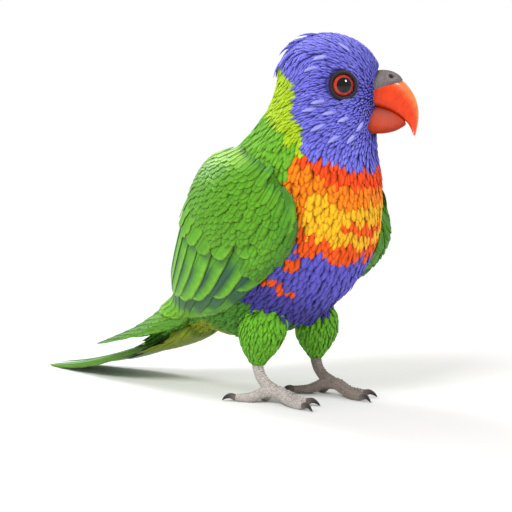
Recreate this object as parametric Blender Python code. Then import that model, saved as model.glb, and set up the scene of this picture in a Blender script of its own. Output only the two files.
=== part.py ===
"""Rainbow lorikeet, life size, standing alert on both feet with its head turned to its left.

Metres, +Z up, the breast faces +X and the bird's right side is -Y. The floor is Z = 0.
The body is a loft along one spine that runs from the tail tip, over the rump, to the crown.
Wings are vanes laid in tiers on that same loft, a little above it, so they follow the body.
"""

import math
from collections import namedtuple

import bmesh
import bpy
import numpy as np
from mathutils import Matrix, Vector

MM = 0.001
GAP = 0.3 * MM  # clearance between nodes that touch
ORIGIN = np.array((-50.9, 0.0, 0.0)) * MM  # the box's bottom centre, which becomes the origin

# Spine stations from the tail tip to the middle of the head, in mm:
# centre x, centre z, reach to the back, reach to the front, half width.
SPINE = (
    (-152.5, -0.4, 6.0, 6.0, 16.0),
    (-128.0, 4.0, 7.0, 6.0, 17.0),
    (-103.0, 11.0, 7.5, 6.0, 18.0),
    (-78.0, 20.5, 8.0, 7.0, 17.5),
    (-64.0, 28.5, 9.0, 9.0, 15.5),
    (-52.5, 37.0, 11.0, 11.0, 14.5),
    (-41.5, 46.5, 21.0, 27.0, 24.0),
    (-28.5, 58.5, 30.0, 38.0, 31.5),
    (-13.0, 75.0, 36.5, 45.5, 37.5),
    (1.5, 93.5, 36.5, 45.5, 38.5),
    (10.0, 110.0, 31.0, 37.0, 33.0),
    (14.5, 123.0, 26.5, 29.0, 27.0),
    (17.0, 133.0, 23.8, 25.6, 22.8),
    (18.8, 141.0, 23.2, 24.4, 20.8),
    (20.0, 149.0, 23.4, 24.0, 19.8),
)
TAIL_ROOT = 5  # station where the torso ends and the tail begins
CROWN_RISE = 20.0 * MM  # height of the dome above the last station
RING_POINTS = 28

# The head is turned about an upright axis through the neck.
HEAD_TURN = math.radians(36.0)
NECK_AXIS_X = 14.0 * MM
TURN_FROM = 12.0 * MM  # distance up the neck where the turn begins
TURN_TO = 40.0 * MM
NECK_LEAN = math.radians(66.0)

# Where the flesh is divided, as distances up the spine from the tail root.
NECK_BASE = 110.0 * MM
HEAD_BASE = 128.0 * MM

# Bill, in the sagittal plane of the unturned head, in mm: culmen and cutting edge x, z, half width.
UPPER_BILL = (
    (38.0, 150.4, 36.0, 136.2, 8.4),
    (44.9, 151.0, 40.8, 135.8, 8.2),
    (51.4, 148.8, 45.2, 134.6, 7.5),
    (56.7, 143.8, 49.4, 132.8, 6.4),
    (59.9, 137.4, 53.2, 130.4, 5.1),
    (60.7, 130.6, 56.2, 127.4, 3.4),
    (59.3, 122.8, 58.6, 122.6, 0.6),
)
LOWER_BILL = (
    (36.0, 135.8, 35.0, 125.0, 7.4),
    (40.6, 135.4, 40.2, 123.8, 7.1),
    (45.0, 134.4, 45.4, 123.6, 6.4),
    (49.4, 132.6, 50.4, 124.7, 5.2),
    (53.2, 130.0, 54.3, 127.0, 3.0),
)
CERE = (
    (37.5, 150.6, 36.0, 139.4, 9.0),
    (42.8, 152.0, 38.6, 139.0, 9.0),
    (46.8, 151.6, 40.8, 139.4, 8.5),
    (49.2, 149.9, 43.2, 140.9, 7.1),
)
CERE_SEAT = 2.4 * GAP  # how much larger than the cere its seat in the bill is cut
NOSTRIL = (46.2, 4.3, 150.3)  # on the right side of the cere, y away from the middle
NOSTRIL_RADIUS = 1.1 * MM
BILL_SEAT_DOWN = 12.0 * MM  # how far below the head's base the bill's seat reaches
BILL_ROUND = 0.85  # power that rounds a bill ring, and the one for its square side
BILL_SQUARE = 0.5
BILL_ARCH = 0.1  # how much more pointed a ring is at its culmen

EYE_RISE = 134.2 * MM  # spine distance of the eye
EYE_ROUND = math.radians(106.0)  # angle from the back of the head
EYE_RADIUS = 5.8 * MM
EYE_SET_IN = 3.6 * MM
LID_RADIUS = 5.2 * MM
LID_THICK = 0.85 * MM
LID_PROUD = 0.1 * MM  # middle of the lid above the skin

# Legs and feet. Each foot's hub is at x, y; forward and back toes follow as angle and length.
FEET = {"right": (3.0, -17.0), "left": (11.5, 17.0)}
THIGH = (  # from the flank down to the ankle: ahead of the hub, inwards, height, girth
    (-4.0, 5.0, 56.0, 6.0),
    (-3.5, 3.2, 50.0, 9.5),
    (-3.0, 2.4, 43.5, 11.2),
    (-3.5, 0.8, 36.5, 12.0),
    (-5.0, 0.0, 30.0, 11.2),
    (-7.0, 0.0, 24.0, 8.4),
    (-8.6, 0.0, 19.8, 5.0),
    (-9.1, 0.0, 17.6, 3.6),
)
THIGH_POINTS = 20
THIGH_LEAN = 0.7  # how much of the foot's lead over the hip the top of the thigh gives back
THIGH_LEAN_RISE = 32.0  # height above the ankle, in mm, where it gives back all of that
THIGH_FLATNESS = 0.92  # girth across the bird for its girth along it
HIP_X = -4.0
TARSUS = (  # from the ankle down to the hub: ahead of the hub, height, girth
    (-9.1, 17.2, 2.7),
    (-9.1, 15.4, 2.5),
    (-7.7, 11.8, 2.4),
    (-4.4, 8.2, 2.5),
    (-0.5, 5.9, 3.0),
    (1.8, 5.2, 2.2),
)
TOES = ((-14.0, 21.0), (17.0, 16.0), (158.0, 12.0), (-156.0, 18.0))
TOE_RISE = (5.4, 5.2, 3.6, 2.1, 1.75, 1.75)
TOE_GIRTH = (2.7, 2.5, 2.3, 2.1, 2.0, 1.5)
CLAW_ALONG = (0.4, 1.9, 3.5, 5.0, 6.1)
CLAW_RISE = (2.1, 2.5, 2.3, 1.5, 0.5)
CLAW_GIRTH = (1.5, 1.35, 1.05, 0.65, 0.22)

# Wing outline: distance up the spine from the tail root in mm, dorsal and ventral edge in degrees.
WING_EDGE = (
    (-66.0, 34.0, 44.0),
    (-45.0, 22.0, 52.0),
    (-23.0, 12.0, 72.0),
    (-3.0, 9.0, 94.0),
    (13.0, 9.0, 114.0),
    (29.0, 10.0, 127.0),
    (47.0, 12.0, 134.0),
    (66.0, 18.0, 137.0),
    (84.0, 27.0, 131.0),
    (93.0, 42.0, 114.0),
    (97.0, 56.0, 98.0),
)
WING_CORE = (  # spine distance and thickness of the fleshy part, mm
    (97.0, 0.5),
    (94.0, 2.2),
    (88.0, 3.8),
    (79.0, 4.8),
    (70.0, 5.0),
    (60.0, 4.7),
    (48.0, 3.8),
    (34.0, 2.4),
)
WING_LIFT = 1.35 * MM  # underside of the wing above the body
WING_FLOOR = 2.2 * MM  # lowest layer above the body
EDGE_HEIGHT = 0.3  # how high the layers stack at the wing's edges, for 1 in its middle
VANE_THICK = 0.6 * MM
VANE_TIP_THIN = 0.7  # thickness of a vane's tip for 1 along the rest
VANE_STOPS = (0.0, 0.3, 0.6, 0.82, 0.94, 1.0)  # places along a feather, and its width there
VANE_WIDTHS = (0.45, 0.9, 1.0, 0.84, 0.5, 0.1)
LONG_STOPS = (0.0, 0.2, 0.36, 0.5, 0.64, 0.82, 0.94, 1.0)
RECTRIX_STOPS = (0.0, 0.22, 0.44, 0.64, 0.82, 0.94, 1.0)
MIDDLE_STOPS = (0.0, 0.3, 0.55, 0.78, 0.93, 1.0)
SHORT_STOPS = (0.0, 0.45, 0.85, 1.0)

# One row of wing feathers, each pair its first and last feather: roots and tips as distance up
# the spine in mm and angle in degrees, heights above the wing's floor in mm.
Tier = namedtuple(
    "Tier", "count root_at root_angle tip_at tip_angle root_height tip_height half_width tilt stops"
)
PRIMARIES = Tier(
    6, (40, 62), (106, 118), (-6, -58), (56, 33), (2.2, 1.7), (2.8, 0.7), 5.5, 0.05, LONG_STOPS
)
SECONDARIES = Tier(
    6, (54, 50), (111, 26), (5, -5), (94, 27), (3.2, 3.5), (3.6, 4.0), 7.6, 0.1, MIDDLE_STOPS
)
GREATER_COVERTS = Tier(
    5, (58, 57), (116, 24), (33, 27), (111, 20), (3.6, 3.6), (4.6, 4.6), 8.8, 0.13, SHORT_STOPS
)
MEDIAN_COVERTS = Tier(
    5, (74, 74), (117, 32), (53, 49), (113, 28), (3.7, 3.7), (5.5, 5.5), 8.6, 0.13, SHORT_STOPS
)

# Tail: one side's feathers from the middle one outwards.
TAIL_LENGTH = (111.0, 108.0, 101.0, 92.0, 82.0, 71.0)
TAIL_ROOT_OUT = (1.4, 1.5)  # distance from the middle at the root: first feather, and step
TAIL_TIP_OUT = (3.9, 2.0)
TAIL_HALF_WIDTH = (6.4, -0.22)
TAIL_SUNK = 6.0 * MM  # how far into the core the roots start
TAIL_MIDDLE_GAP = 0.2 * MM  # between the two sides' feathers, under the middle pair
TAIL_ROOF = 0.12  # how much the tail drops to its sides
TAIL_FLAT = 3.0 * MM  # distance from the middle where that drop begins
TAIL_TOP = 1.6  # height of the uppermost feather above the spine
TAIL_STEP = 0.92  # each feather lies this much under the one before it
TAIL_CORE = (  # distance back from the root, reach up, reach down, half width
    (0.35, 10.2, 10.6, 14.0),
    (8.0, 7.6, 9.6, 14.2),
    (16.0, 5.4, 8.0, 13.6),
    (26.0, 3.6, 5.8, 12.6),
    (38.0, 2.2, 3.4, 10.6),
    (48.0, 1.2, 1.4, 6.5),
)
COVERT_SPACING = 4.6 * MM  # tail coverts, above and below the root
COVERT_HALF_WIDTH = 5.1 * MM
COVERT_ROOT = 12.0  # distance back from the tail's root, in mm
COVERT_SHORTER = 4.0  # how much shorter each one further out is, in mm
COVERT_CLOSING = 0.15  # how much nearer the middle a tip lies than its root
COVERT_RIM = 16.5 * MM  # half width of the oval that they lie on
COVERT_SUNK = -0.6 * MM  # roots below the core's surface, every second one higher
COVERT_STAGGER = 0.75 * MM
UPPER_COVERT = (1, 40.0, 2.2, 1.0)  # column of the core, length, rise to the tip, up or down
UNDER_COVERT = (2, 56.0, 3.4, -1.0)

FLOOR_BLOCK = 0.4  # edge of the block that cuts the flats

COLOURS = {  # linear red, green, blue and alpha, then roughness
    "blue": ((0.135, 0.135, 0.62, 1), 0.7),
    "green": ((0.12, 0.36, 0.02, 1), 0.65),
    "orange": ((0.95, 0.17, 0.02, 1), 0.7),
    "bill": ((0.90, 0.11, 0.02, 1), 0.35),
    "cere": ((0.13, 0.12, 0.12, 1), 0.6),
    "eye": ((0.45, 0.03, 0.015, 1), 0.1),
    "foot": ((0.33, 0.30, 0.29, 1), 0.6),
    "claw": ((0.05, 0.045, 0.045, 1), 0.4),
}


def hermite(knots, values, at):
    """Smooth curve through values at the knots, read at one or many places."""
    knots, values, at = (np.asarray(a, float) for a in (knots, values, at))
    slopes = np.gradient(values, knots, axis=0)
    index = np.clip(np.searchsorted(knots, at, side="right") - 1, 0, len(knots) - 2)
    width = knots[index + 1] - knots[index]
    u = (at - knots[index]) / width
    if values.ndim > 1:
        u, width = u[..., None], width[..., None]
    u2, u3 = u * u, u * u * u
    return (
        (2 * u3 - 3 * u2 + 1) * values[index]
        + (u3 - 2 * u2 + u) * width * slopes[index]
        + (3 * u2 - 2 * u3) * values[index + 1]
        + (u3 - u2) * width * slopes[index + 1]
    )


STATION = np.array(SPINE) * MM
STEPS = np.hypot(*np.diff(STATION[:, :2], axis=0).T)
REACH = np.concatenate([[0.0], np.cumsum(STEPS)])
REACH -= REACH[TAIL_ROOT]
TOP = REACH[-1]


def frame_at(s):
    """Centre, unit vector to the back, and the three radii at spine distance s."""
    s = np.asarray(s, float)
    inside = np.minimum(s, TOP)
    row = hermite(REACH, STATION, inside)
    step = 0.5 * MM
    ahead = hermite(REACH, STATION[:, :2], np.minimum(inside + step, TOP))
    behind = hermite(REACH, STATION[:, :2], inside - step)
    along = ahead - behind
    along /= np.linalg.norm(along, axis=-1, keepdims=True)
    over = (s - inside)[..., None]
    centre = row[..., :2] + along * over
    zero = np.zeros_like(centre[..., 0])
    centre = np.stack([centre[..., 0], zero, centre[..., 1]], axis=-1)
    back = np.stack([-along[..., 1], zero, along[..., 0]], axis=-1)
    return centre, back, row[..., 2:]


def body_point(s, angle, lift=0.0):
    """Point on the body, angle from the back towards the bird's right, lifted off the skin."""
    s, angle, lift = np.broadcast_arrays(
        np.asarray(s, float), np.asarray(angle, float), np.asarray(lift, float)
    )
    centre, back, radii = frame_at(s)
    over = np.clip((s - TOP) / (CROWN_RISE + lift), 0.0, 1.0)
    shrink = np.sqrt(1.0 - over * over)
    cosine, sine = np.cos(angle), np.sin(angle)
    deep = np.where(cosine >= 0, radii[..., 0], radii[..., 1]) + lift
    wide = radii[..., 2] + lift
    point = centre + back * (shrink * deep * cosine)[..., None]
    point[..., 1] -= shrink * wide * sine
    return point


def arc_rate(s, angle):
    """Surface distance for one radian of angle."""
    radii = frame_at(s)[2]
    deep = np.where(np.cos(angle) >= 0, radii[..., 0], radii[..., 1])
    return np.hypot(deep * np.sin(angle), radii[..., 2] * np.cos(angle))


def turn_head(points):
    """Turns what lies above the neck about the neck's upright axis, fading in along the neck."""
    points = np.array(points, float)
    base = np.array([STATION[10, 0], 0.0, STATION[10, 1]])
    up_neck = np.array([math.cos(NECK_LEAN), 0.0, math.sin(NECK_LEAN)])
    share = np.clip(((points - base) @ up_neck - TURN_FROM) / (TURN_TO - TURN_FROM), 0.0, 1.0)
    angle = HEAD_TURN * share * share * (3 - 2 * share)
    x, y = points[..., 0] - NECK_AXIS_X, points[..., 1].copy()
    points[..., 0] = NECK_AXIS_X + x * np.cos(angle) - y * np.sin(angle)
    points[..., 1] = x * np.sin(angle) + y * np.cos(angle)
    return points


def material(name):
    found = bpy.data.materials.get(name)
    if found:
        return found
    colour, roughness = COLOURS[name]
    made = bpy.data.materials.new(name)
    made.use_nodes = True
    shader = made.node_tree.nodes["Principled BSDF"]
    shader.inputs["Base Color"].default_value = colour
    shader.inputs["Roughness"].default_value = roughness
    made.diffuse_color = colour
    return made


def add_object(name, mesh, collection):
    made = bpy.data.objects.new(name, mesh)
    collection.objects.link(made)
    return made


def loft(name, rings, collection, flipped=(), strip_caps=False):
    """Closed solid through rings of equal length.

    Each end has a fan cap, or where a ring goes out along one side of a bent plate and back
    along the other, a strip of faces between the two sides.
    """
    rings = [turn_head(ring) for ring in rings]
    count = len(rings[0])
    shape = bmesh.new()
    rows = [[shape.verts.new(point) for point in ring] for ring in rings]
    for low, high in zip(rows, rows[1:]):
        for i in range(count):
            j = (i + 1) % count
            if i in flipped:
                shape.faces.new((low[i], low[j], high[i]))
                shape.faces.new((low[j], high[j], high[i]))
            else:
                shape.faces.new((low[i], low[j], high[j]))
                shape.faces.new((low[i], high[j], high[i]))
    for row in (rows[0], rows[-1]):
        if strip_caps:
            for i in range(count // 2 - 1):
                shape.faces.new((row[i], row[i + 1], row[-2 - i]))
                shape.faces.new((row[i], row[-2 - i], row[-1 - i]))
            continue
        middle = shape.verts.new(sum((v.co for v in row), Vector()) / count)
        for i in range(count):
            shape.faces.new((row[i], row[(i + 1) % count], middle))
    bmesh.ops.recalc_face_normals(shape, faces=shape.faces)
    mesh = bpy.data.meshes.new(name)
    shape.to_mesh(mesh)
    shape.free()
    return add_object(name, mesh, collection)


def tube(name, points, radii, collection, resolution=2):
    """Closed mesh of a round tube with its own radius at each point."""
    curve = bpy.data.curves.new(name, "CURVE")
    curve.dimensions = "3D"
    curve.bevel_depth = 1.0
    curve.bevel_resolution = resolution
    curve.use_fill_caps = True
    spline = curve.splines.new("POLY")
    spline.points.add(len(points) - 1)
    for knot, point, radius in zip(spline.points, points, radii):
        knot.co = (*point, 1.0)
        knot.radius = radius
    guide = add_object(name + "_guide", curve, collection)
    graph = bpy.context.evaluated_depsgraph_get()
    mesh = bpy.data.meshes.new_from_object(guide.evaluated_get(graph))
    bpy.data.objects.remove(guide)
    shape = bmesh.new()
    shape.from_mesh(mesh)
    bmesh.ops.remove_doubles(shape, verts=shape.verts, dist=0.01 * MM)
    bmesh.ops.triangulate(shape, faces=shape.faces)
    bmesh.ops.recalc_face_normals(shape, faces=shape.faces)
    shape.to_mesh(mesh)
    shape.free()
    return add_object(name, mesh, collection)


def ball(name, centre, radius, collection, across=14, rings=9, aim=None):
    shape = bmesh.new()
    bmesh.ops.create_uvsphere(shape, u_segments=across, v_segments=rings, radius=radius)
    if aim is not None:
        turn = Vector((0, 0, 1)).rotation_difference(Vector(aim))
        bmesh.ops.rotate(shape, verts=shape.verts, matrix=turn.to_matrix())
    bmesh.ops.translate(shape, verts=shape.verts, vec=Vector(centre))
    bmesh.ops.triangulate(shape, faces=shape.faces)
    mesh = bpy.data.meshes.new(name)
    shape.to_mesh(mesh)
    shape.free()
    return add_object(name, mesh, collection)


def apply_modifiers(obj):
    graph = bpy.context.evaluated_depsgraph_get()
    mesh = bpy.data.meshes.new_from_object(obj.evaluated_get(graph))
    obj.modifiers.clear()
    obj.data = mesh


def combine(obj, others, operation, solver="EXACT"):
    """Joins or cuts obj with each of the others' meshes at once, then removes the others."""
    group = bpy.data.collections.new(obj.name + "_" + operation)
    bpy.context.scene.collection.children.link(group)
    for other in others:
        group.objects.link(other)
    change = obj.modifiers.new(operation, "BOOLEAN")
    change.operation = operation
    change.operand_type = "COLLECTION"
    change.collection = group
    change.solver = solver
    apply_modifiers(obj)
    for other in others:
        bpy.data.objects.remove(other)
    bpy.data.collections.remove(group)
    keep_largest(obj)
    return obj


def keep_largest(obj):
    """Leaves only the closed surface that holds most."""
    shape = bmesh.new()
    shape.from_mesh(obj.data)
    bmesh.ops.triangulate(shape, faces=shape.faces)
    loose = set(shape.faces)
    bodies = []
    while loose:
        reached = [loose.pop()]
        body = list(reached)
        while reached:
            face = reached.pop()
            for edge in face.edges:
                for near in edge.link_faces:
                    if near in loose:
                        loose.discard(near)
                        reached.append(near)
                        body.append(near)
        bodies.append(body)
    volumes = [
        sum(f.verts[0].co.dot(f.verts[1].co.cross(f.verts[2].co)) for f in body)
        for body in bodies
    ]
    best = int(np.argmax(volumes))
    for number, body in enumerate(bodies):
        if number != best:
            bmesh.ops.delete(shape, geom=body, context="FACES")
    lone = [v for v in shape.verts if not v.link_faces]
    bmesh.ops.delete(shape, geom=lone, context="VERTS")
    shape.to_mesh(obj.data)
    shape.free()


def finish(obj, colour):
    obj.data.materials.clear()
    obj.data.materials.append(material(colour))
    obj.data.shade_smooth()
    obj.data.set_sharp_from_angle(angle=math.radians(40.0))
    obj.location -= Vector(ORIGIN)
    return obj


def body_rings(stops, lift=0.0, count=RING_POINTS):
    angles = np.arange(count) * 2 * math.pi / count
    return [body_point(s, angles, lift) for s in stops]


def dome_stops(count, lift=0.0):
    """Spine distances over the crown, crowded towards the top so that the dome stays round."""
    rise = np.sin(np.linspace(0.0, 1.0, count + 1)[1:] * math.radians(86.0))
    return list(TOP + (CROWN_RISE + lift) * rise)


def make_torso(parts):
    stops = np.linspace(0.0, NECK_BASE - GAP / 2, 15)
    return finish(loft("torso", body_rings(stops), parts), "orange")


def make_neck(parts):
    stops = np.linspace(NECK_BASE + GAP / 2, HEAD_BASE - GAP / 2, 5)
    return finish(loft("neck", body_rings(stops), parts), "blue")


def eye_place(side):
    """Surface point and outward direction of an eye, before the head is turned."""
    point = body_point(EYE_RISE, side * EYE_ROUND)
    step = math.radians(1.0)
    across = body_point(EYE_RISE, side * (EYE_ROUND + step)) - point
    along = body_point(EYE_RISE + 0.5 * MM, side * EYE_ROUND) - point
    normal = np.cross(across, along)
    normal /= np.linalg.norm(normal)
    if normal[1] * side > 0:
        normal = -normal
    return point, normal


def eye_frame(side):
    """The eye's centre, lid centre and outward direction on the turned head."""
    point, normal = eye_place(side)
    lid, centre, far = turn_head(
        np.array([point + normal * LID_PROUD, point - normal * EYE_SET_IN, point + normal * MM])
    )
    outward = far - lid
    return centre, lid, outward / np.linalg.norm(outward)


def make_lid(side, parts):
    """Raised ring of skin round the eye."""
    centre, lid, outward = eye_frame(side)
    bpy.ops.mesh.primitive_torus_add(
        major_segments=16, minor_segments=6, major_radius=LID_RADIUS, minor_radius=LID_THICK
    )
    ring = bpy.context.object
    turn = Vector((0, 0, 1)).rotation_difference(Vector(outward))
    ring.data.transform(Matrix.Translation(Vector(lid)) @ turn.to_matrix().to_4x4())
    bpy.context.collection.objects.unlink(ring)
    parts.objects.link(ring)
    return ring


def make_head(parts, scraps):
    stops = list(np.linspace(HEAD_BASE + GAP / 2, TOP, 4)) + dome_stops(7)
    head = loft("head", body_rings(stops), parts)
    combine(head, [make_lid(side, scraps) for side in (1, -1)], "UNION")
    sockets = [
        ball("socket", eye_frame(side)[0], EYE_RADIUS + GAP, scraps, aim=eye_frame(side)[2])
        for side in (1, -1)
    ]
    combine(head, sockets, "DIFFERENCE")
    return finish(head, "blue")


def make_eyes(parts):
    for name, side in (("eye_right", 1), ("eye_left", -1)):
        centre, _, outward = eye_frame(side)
        finish(ball(name, centre, EYE_RADIUS, parts, aim=outward), "eye")


def bill_rings(rows, swell=0.0, square=0, count=14):
    """Rings of a bill piece from its culmen to its cutting edge, squared off below, -1, or above, 1."""
    rows = np.array(rows) * MM
    knots = np.arange(len(rows), dtype=float)
    stops = np.linspace(0, len(rows) - 1, 2 * len(rows) - 1)
    rings = []
    for row in hermite(knots, rows, stops):
        top, low = np.array([row[0], 0, row[1]]), np.array([row[2], 0, row[3]])
        middle, rise = (top + low) / 2, (top - low) / 2
        stretch = 1 + swell / max(np.linalg.norm(rise), 0.5 * MM)
        wide = max(row[4], 0.3 * MM) + swell
        angles = np.arange(count) * 2 * math.pi / count
        cosine, sine = np.cos(angles), np.sin(angles)
        blunt = np.where(cosine * square > 0.05, BILL_SQUARE, BILL_ROUND)
        height = np.sign(cosine) * np.abs(cosine) ** (blunt + BILL_ARCH) * stretch
        ring = middle + np.outer(height, rise)
        ring[:, 1] -= wide * np.sign(sine) * np.abs(sine) ** blunt
        rings.append(ring)
    if swell:
        ahead = rings[-1].mean(axis=0) - rings[-2].mean(axis=0)
        rings.append(rings[-1] + ahead * swell / np.linalg.norm(ahead))
    return rings


def head_cutter(scraps):
    """The head and throat, a gap larger, to seat the bill on."""
    stops = list(np.linspace(HEAD_BASE - BILL_SEAT_DOWN, TOP, 6)) + dome_stops(7, GAP)
    return loft("head_cutter", body_rings(stops, GAP), scraps)


def make_bill(parts, scraps):
    upper = loft("bill_upper", bill_rings(UPPER_BILL, square=-1), parts)
    combine(upper, [head_cutter(scraps), loft("cut", bill_rings(CERE, CERE_SEAT), scraps)], "DIFFERENCE")
    finish(upper, "bill")
    lower = loft("bill_lower", bill_rings(LOWER_BILL, square=1), parts)
    combine(lower, [head_cutter(scraps)], "DIFFERENCE")
    finish(lower, "bill")
    cere = loft("cere", bill_rings(CERE), parts)
    nostrils = []
    for side in (1, -1):
        place = turn_head(np.array([NOSTRIL[0], -side * NOSTRIL[1], NOSTRIL[2]]) * MM)
        nostrils.append(ball("nostril", place, NOSTRIL_RADIUS, scraps, across=8, rings=5))
    combine(cere, [head_cutter(scraps)] + nostrils, "DIFFERENCE")
    finish(cere, "cere")


def wing_edges(s):
    table = np.array(WING_EDGE)
    edges = hermite(table[:, 0] * MM, np.radians(table[:, 1:]), s)
    return edges[..., 0], edges[..., 1]


def edge_fade(s, angle):
    """How high the layers stack: 1 in the middle of the wing, less at its edges."""
    dorsal, ventral = wing_edges(s)
    across = np.clip((2 * angle - dorsal - ventral) / (ventral - dorsal), -1.0, 1.0)
    return EDGE_HEIGHT + (1.0 - EDGE_HEIGHT) * np.sqrt(1.0 - across * across)


def wing_point(s, angle, height, side, drop=0.0):
    """Point of a wing, height in layers above its floor."""
    lift = WING_FLOOR + height * edge_fade(s, angle) + drop
    return body_point(s, side * angle, lift)


def vane_rings(place, half_width, stops=VANE_STOPS):
    """Rings of a flat feather. place(along, across, up) gives a point, across and up in metres."""
    rings = []
    for u in stops:
        wide = half_width * float(np.interp(u, VANE_STOPS, VANE_WIDTHS))
        thick = VANE_THICK / 2 * (1.0 if u < 0.95 else VANE_TIP_THIN)
        rings.append(
            np.array(
                [
                    place(u, -wide, thick),
                    place(u, wide, thick),
                    place(u, wide, -thick),
                    place(u, -wide, -thick),
                ]
            )
        )
    return rings


def vane(name, place, half_width, collection, stops=VANE_STOPS):
    return loft(name, vane_rings(place, half_width, stops), collection, flipped=(2,))


def wing_vane(tier, index, side, collection):
    """One feather of a tier, laid over the body from its root to its tip."""
    share = index / (tier.count - 1)
    root, tip, heights = (
        [first + (last - first) * share for first, last in pair]
        for pair in (
            (tier.root_at, tier.root_angle),
            (tier.tip_at, tier.tip_angle),
            (tier.root_height, tier.tip_height),
        )
    )
    root = np.array([root[0] * MM, math.radians(root[1])])
    tip = np.array([tip[0] * MM, math.radians(tip[1])])

    def place(u, across, up):
        s, angle = root + (tip - root) * u
        rate = float(arc_rate(s, angle))
        along = np.array([tip[0] - root[0], (tip[1] - root[1]) * rate])
        along /= np.linalg.norm(along)
        height = (heights[0] + (heights[1] - heights[0]) * u) * MM
        beside = (s - along[1] * across, angle + along[0] * across / rate)
        return wing_point(*beside, height, side, up - tier.tilt * across)

    return vane("feather", place, tier.half_width * MM, collection, tier.stops)


def wing_core(name, side, parts):
    """The fleshy front of the folded wing, a lens that lies along the body."""
    rows = 8
    rings = []
    for distance, thick in WING_CORE:
        s = distance * MM
        dorsal, ventral = wing_edges(s)
        angles = np.linspace(float(dorsal), float(ventral), rows)
        lifts = WING_FLOOR + thick * MM * edge_fade(s, angles)
        over = body_point(s, side * angles, lifts)
        under = body_point(s, side * angles[::-1], WING_LIFT)
        rings.append(np.concatenate([over, under]))
    return loft(name, rings, parts, strip_caps=True)


def make_wing(name, side, parts, scraps):
    wing = wing_core(name, side, parts)
    feathers = [
        wing_vane(tier, index, side, scraps)
        for tier in (PRIMARIES, SECONDARIES, GREATER_COVERTS, MEDIAN_COVERTS)
        for index in range(tier.count)
    ]
    combine(wing, feathers, "UNION", "MANIFOLD")
    return finish(wing, "green")


def tail_point(back_from_root, across, up):
    """Point of the tail: distance back along the spine, to the bird's left, and above the spine."""
    centre, back, _ = frame_at(-back_from_root)
    return centre + back * up + np.array([0.0, across, 0.0])


def tail_core(parts):
    rings = []
    count = 16
    angles = np.arange(count) * 2 * math.pi / count
    for away, over, under, wide in TAIL_CORE:
        deep = np.where(np.cos(angles) >= 0, over, under) * MM
        rings.append(
            np.array(
                [
                    tail_point(away * MM, -wide * MM * math.sin(a), d * math.cos(a))
                    for a, d in zip(angles, deep)
                ]
            )
        )
    return loft("tail", rings, parts)


def tail_feather(index, side, scraps):
    """Rectrix: parallel layers, each lower and further out than the one before."""
    length = TAIL_LENGTH[index] * MM
    first, last, wide = (
        (start + step * index) * MM
        for start, step in (TAIL_ROOT_OUT, TAIL_TIP_OUT, TAIL_HALF_WIDTH)
    )
    layers_down = index + (1 if index or side < 0 else 0)
    layer = (TAIL_TOP - TAIL_STEP * layers_down) * MM

    def place(u, across, up):
        away = TAIL_SUNK + (length - TAIL_SUNK) * u
        beside = first + (last - first) * u + side * across
        if index:
            beside = max(beside, TAIL_MIDDLE_GAP)
        roof = TAIL_ROOF * max(abs(beside) - TAIL_FLAT, 0.0)
        return tail_point(away, side * beside, layer - roof + up)

    return vane("rectrix", place, wide, scraps, RECTRIX_STOPS)


def tail_covert(offset, kind, scraps):
    """Short feather over or under the tail's root, offset steps from the middle."""
    column, length, rise, way = kind
    length -= COVERT_SHORTER * abs(offset)
    core = np.array(TAIL_CORE)
    sunk = COVERT_SUNK + COVERT_STAGGER * (offset % 2)

    def place(u, across, up):
        away = (COVERT_ROOT + (length - COVERT_ROOT) * u) * MM
        beside = offset * COVERT_SPACING * (1 - COVERT_CLOSING * u) + across
        rim = math.sqrt(max(1 - (beside / COVERT_RIM) ** 2, 0.05))
        height = float(np.interp(away / MM, core[:, 0], core[:, column]))
        return tail_point(away, beside, way * ((height + rise * u) * rim * MM + sunk + way * up))

    return vane("covert", place, COVERT_HALF_WIDTH, scraps, SHORT_STOPS)


def make_tail(parts, scraps):
    tail = tail_core(parts)
    feathers = [
        tail_feather(index, side, scraps)
        for index in range(len(TAIL_LENGTH))
        for side in (1, -1)
    ]
    feathers += [
        tail_covert(offset, kind, scraps)
        for offset in range(-2, 3)
        for kind in (UPPER_COVERT, UNDER_COVERT)
    ]
    combine(tail, feathers, "UNION", "MANIFOLD")
    combine(tail, [floor_cutter(scraps)], "DIFFERENCE", "MANIFOLD")
    return finish(tail, "green")


def floor_cutter(scraps):
    """A block whose top is the floor. It gives feet and tail tip their small flats."""
    shape = bmesh.new()
    bmesh.ops.create_cube(shape, size=FLOOR_BLOCK)
    bmesh.ops.translate(shape, verts=shape.verts, vec=(0.0, 0.0, -FLOOR_BLOCK / 2))
    mesh = bpy.data.meshes.new("floor_cutter")
    shape.to_mesh(mesh)
    shape.free()
    return add_object("floor_cutter", mesh, scraps)


def make_thigh(name, foot, parts, scraps):
    """Feathered thigh, seated on the belly."""
    x0, y0 = foot
    rings = []
    angles = np.arange(THIGH_POINTS) * 2 * math.pi / THIGH_POINTS
    rows = hermite(np.arange(len(THIGH)), np.array(THIGH), np.linspace(0, len(THIGH) - 1, 12))
    for x, inward, z, radius in rows:
        risen = min(max((z - THIGH[-1][2]) / THIGH_LEAN_RISE, 0.0), 1.0)
        back = (x0 - HIP_X) * THIGH_LEAN * risen
        y = y0 - math.copysign(inward, y0)
        ring = np.stack(
            [
                (x0 + x - back + radius * np.cos(angles)) * MM,
                (y + THIGH_FLATNESS * radius * np.sin(angles)) * MM,
                np.full(THIGH_POINTS, z * MM),
            ],
            axis=-1,
        )
        rings.append(ring)
    thigh = loft(name, rings, parts)
    stops = np.linspace(0.0, NECK_BASE, 15)
    combine(thigh, [loft("belly_cutter", body_rings(stops, GAP), scraps)], "DIFFERENCE")
    return finish(thigh, "green")


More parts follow.
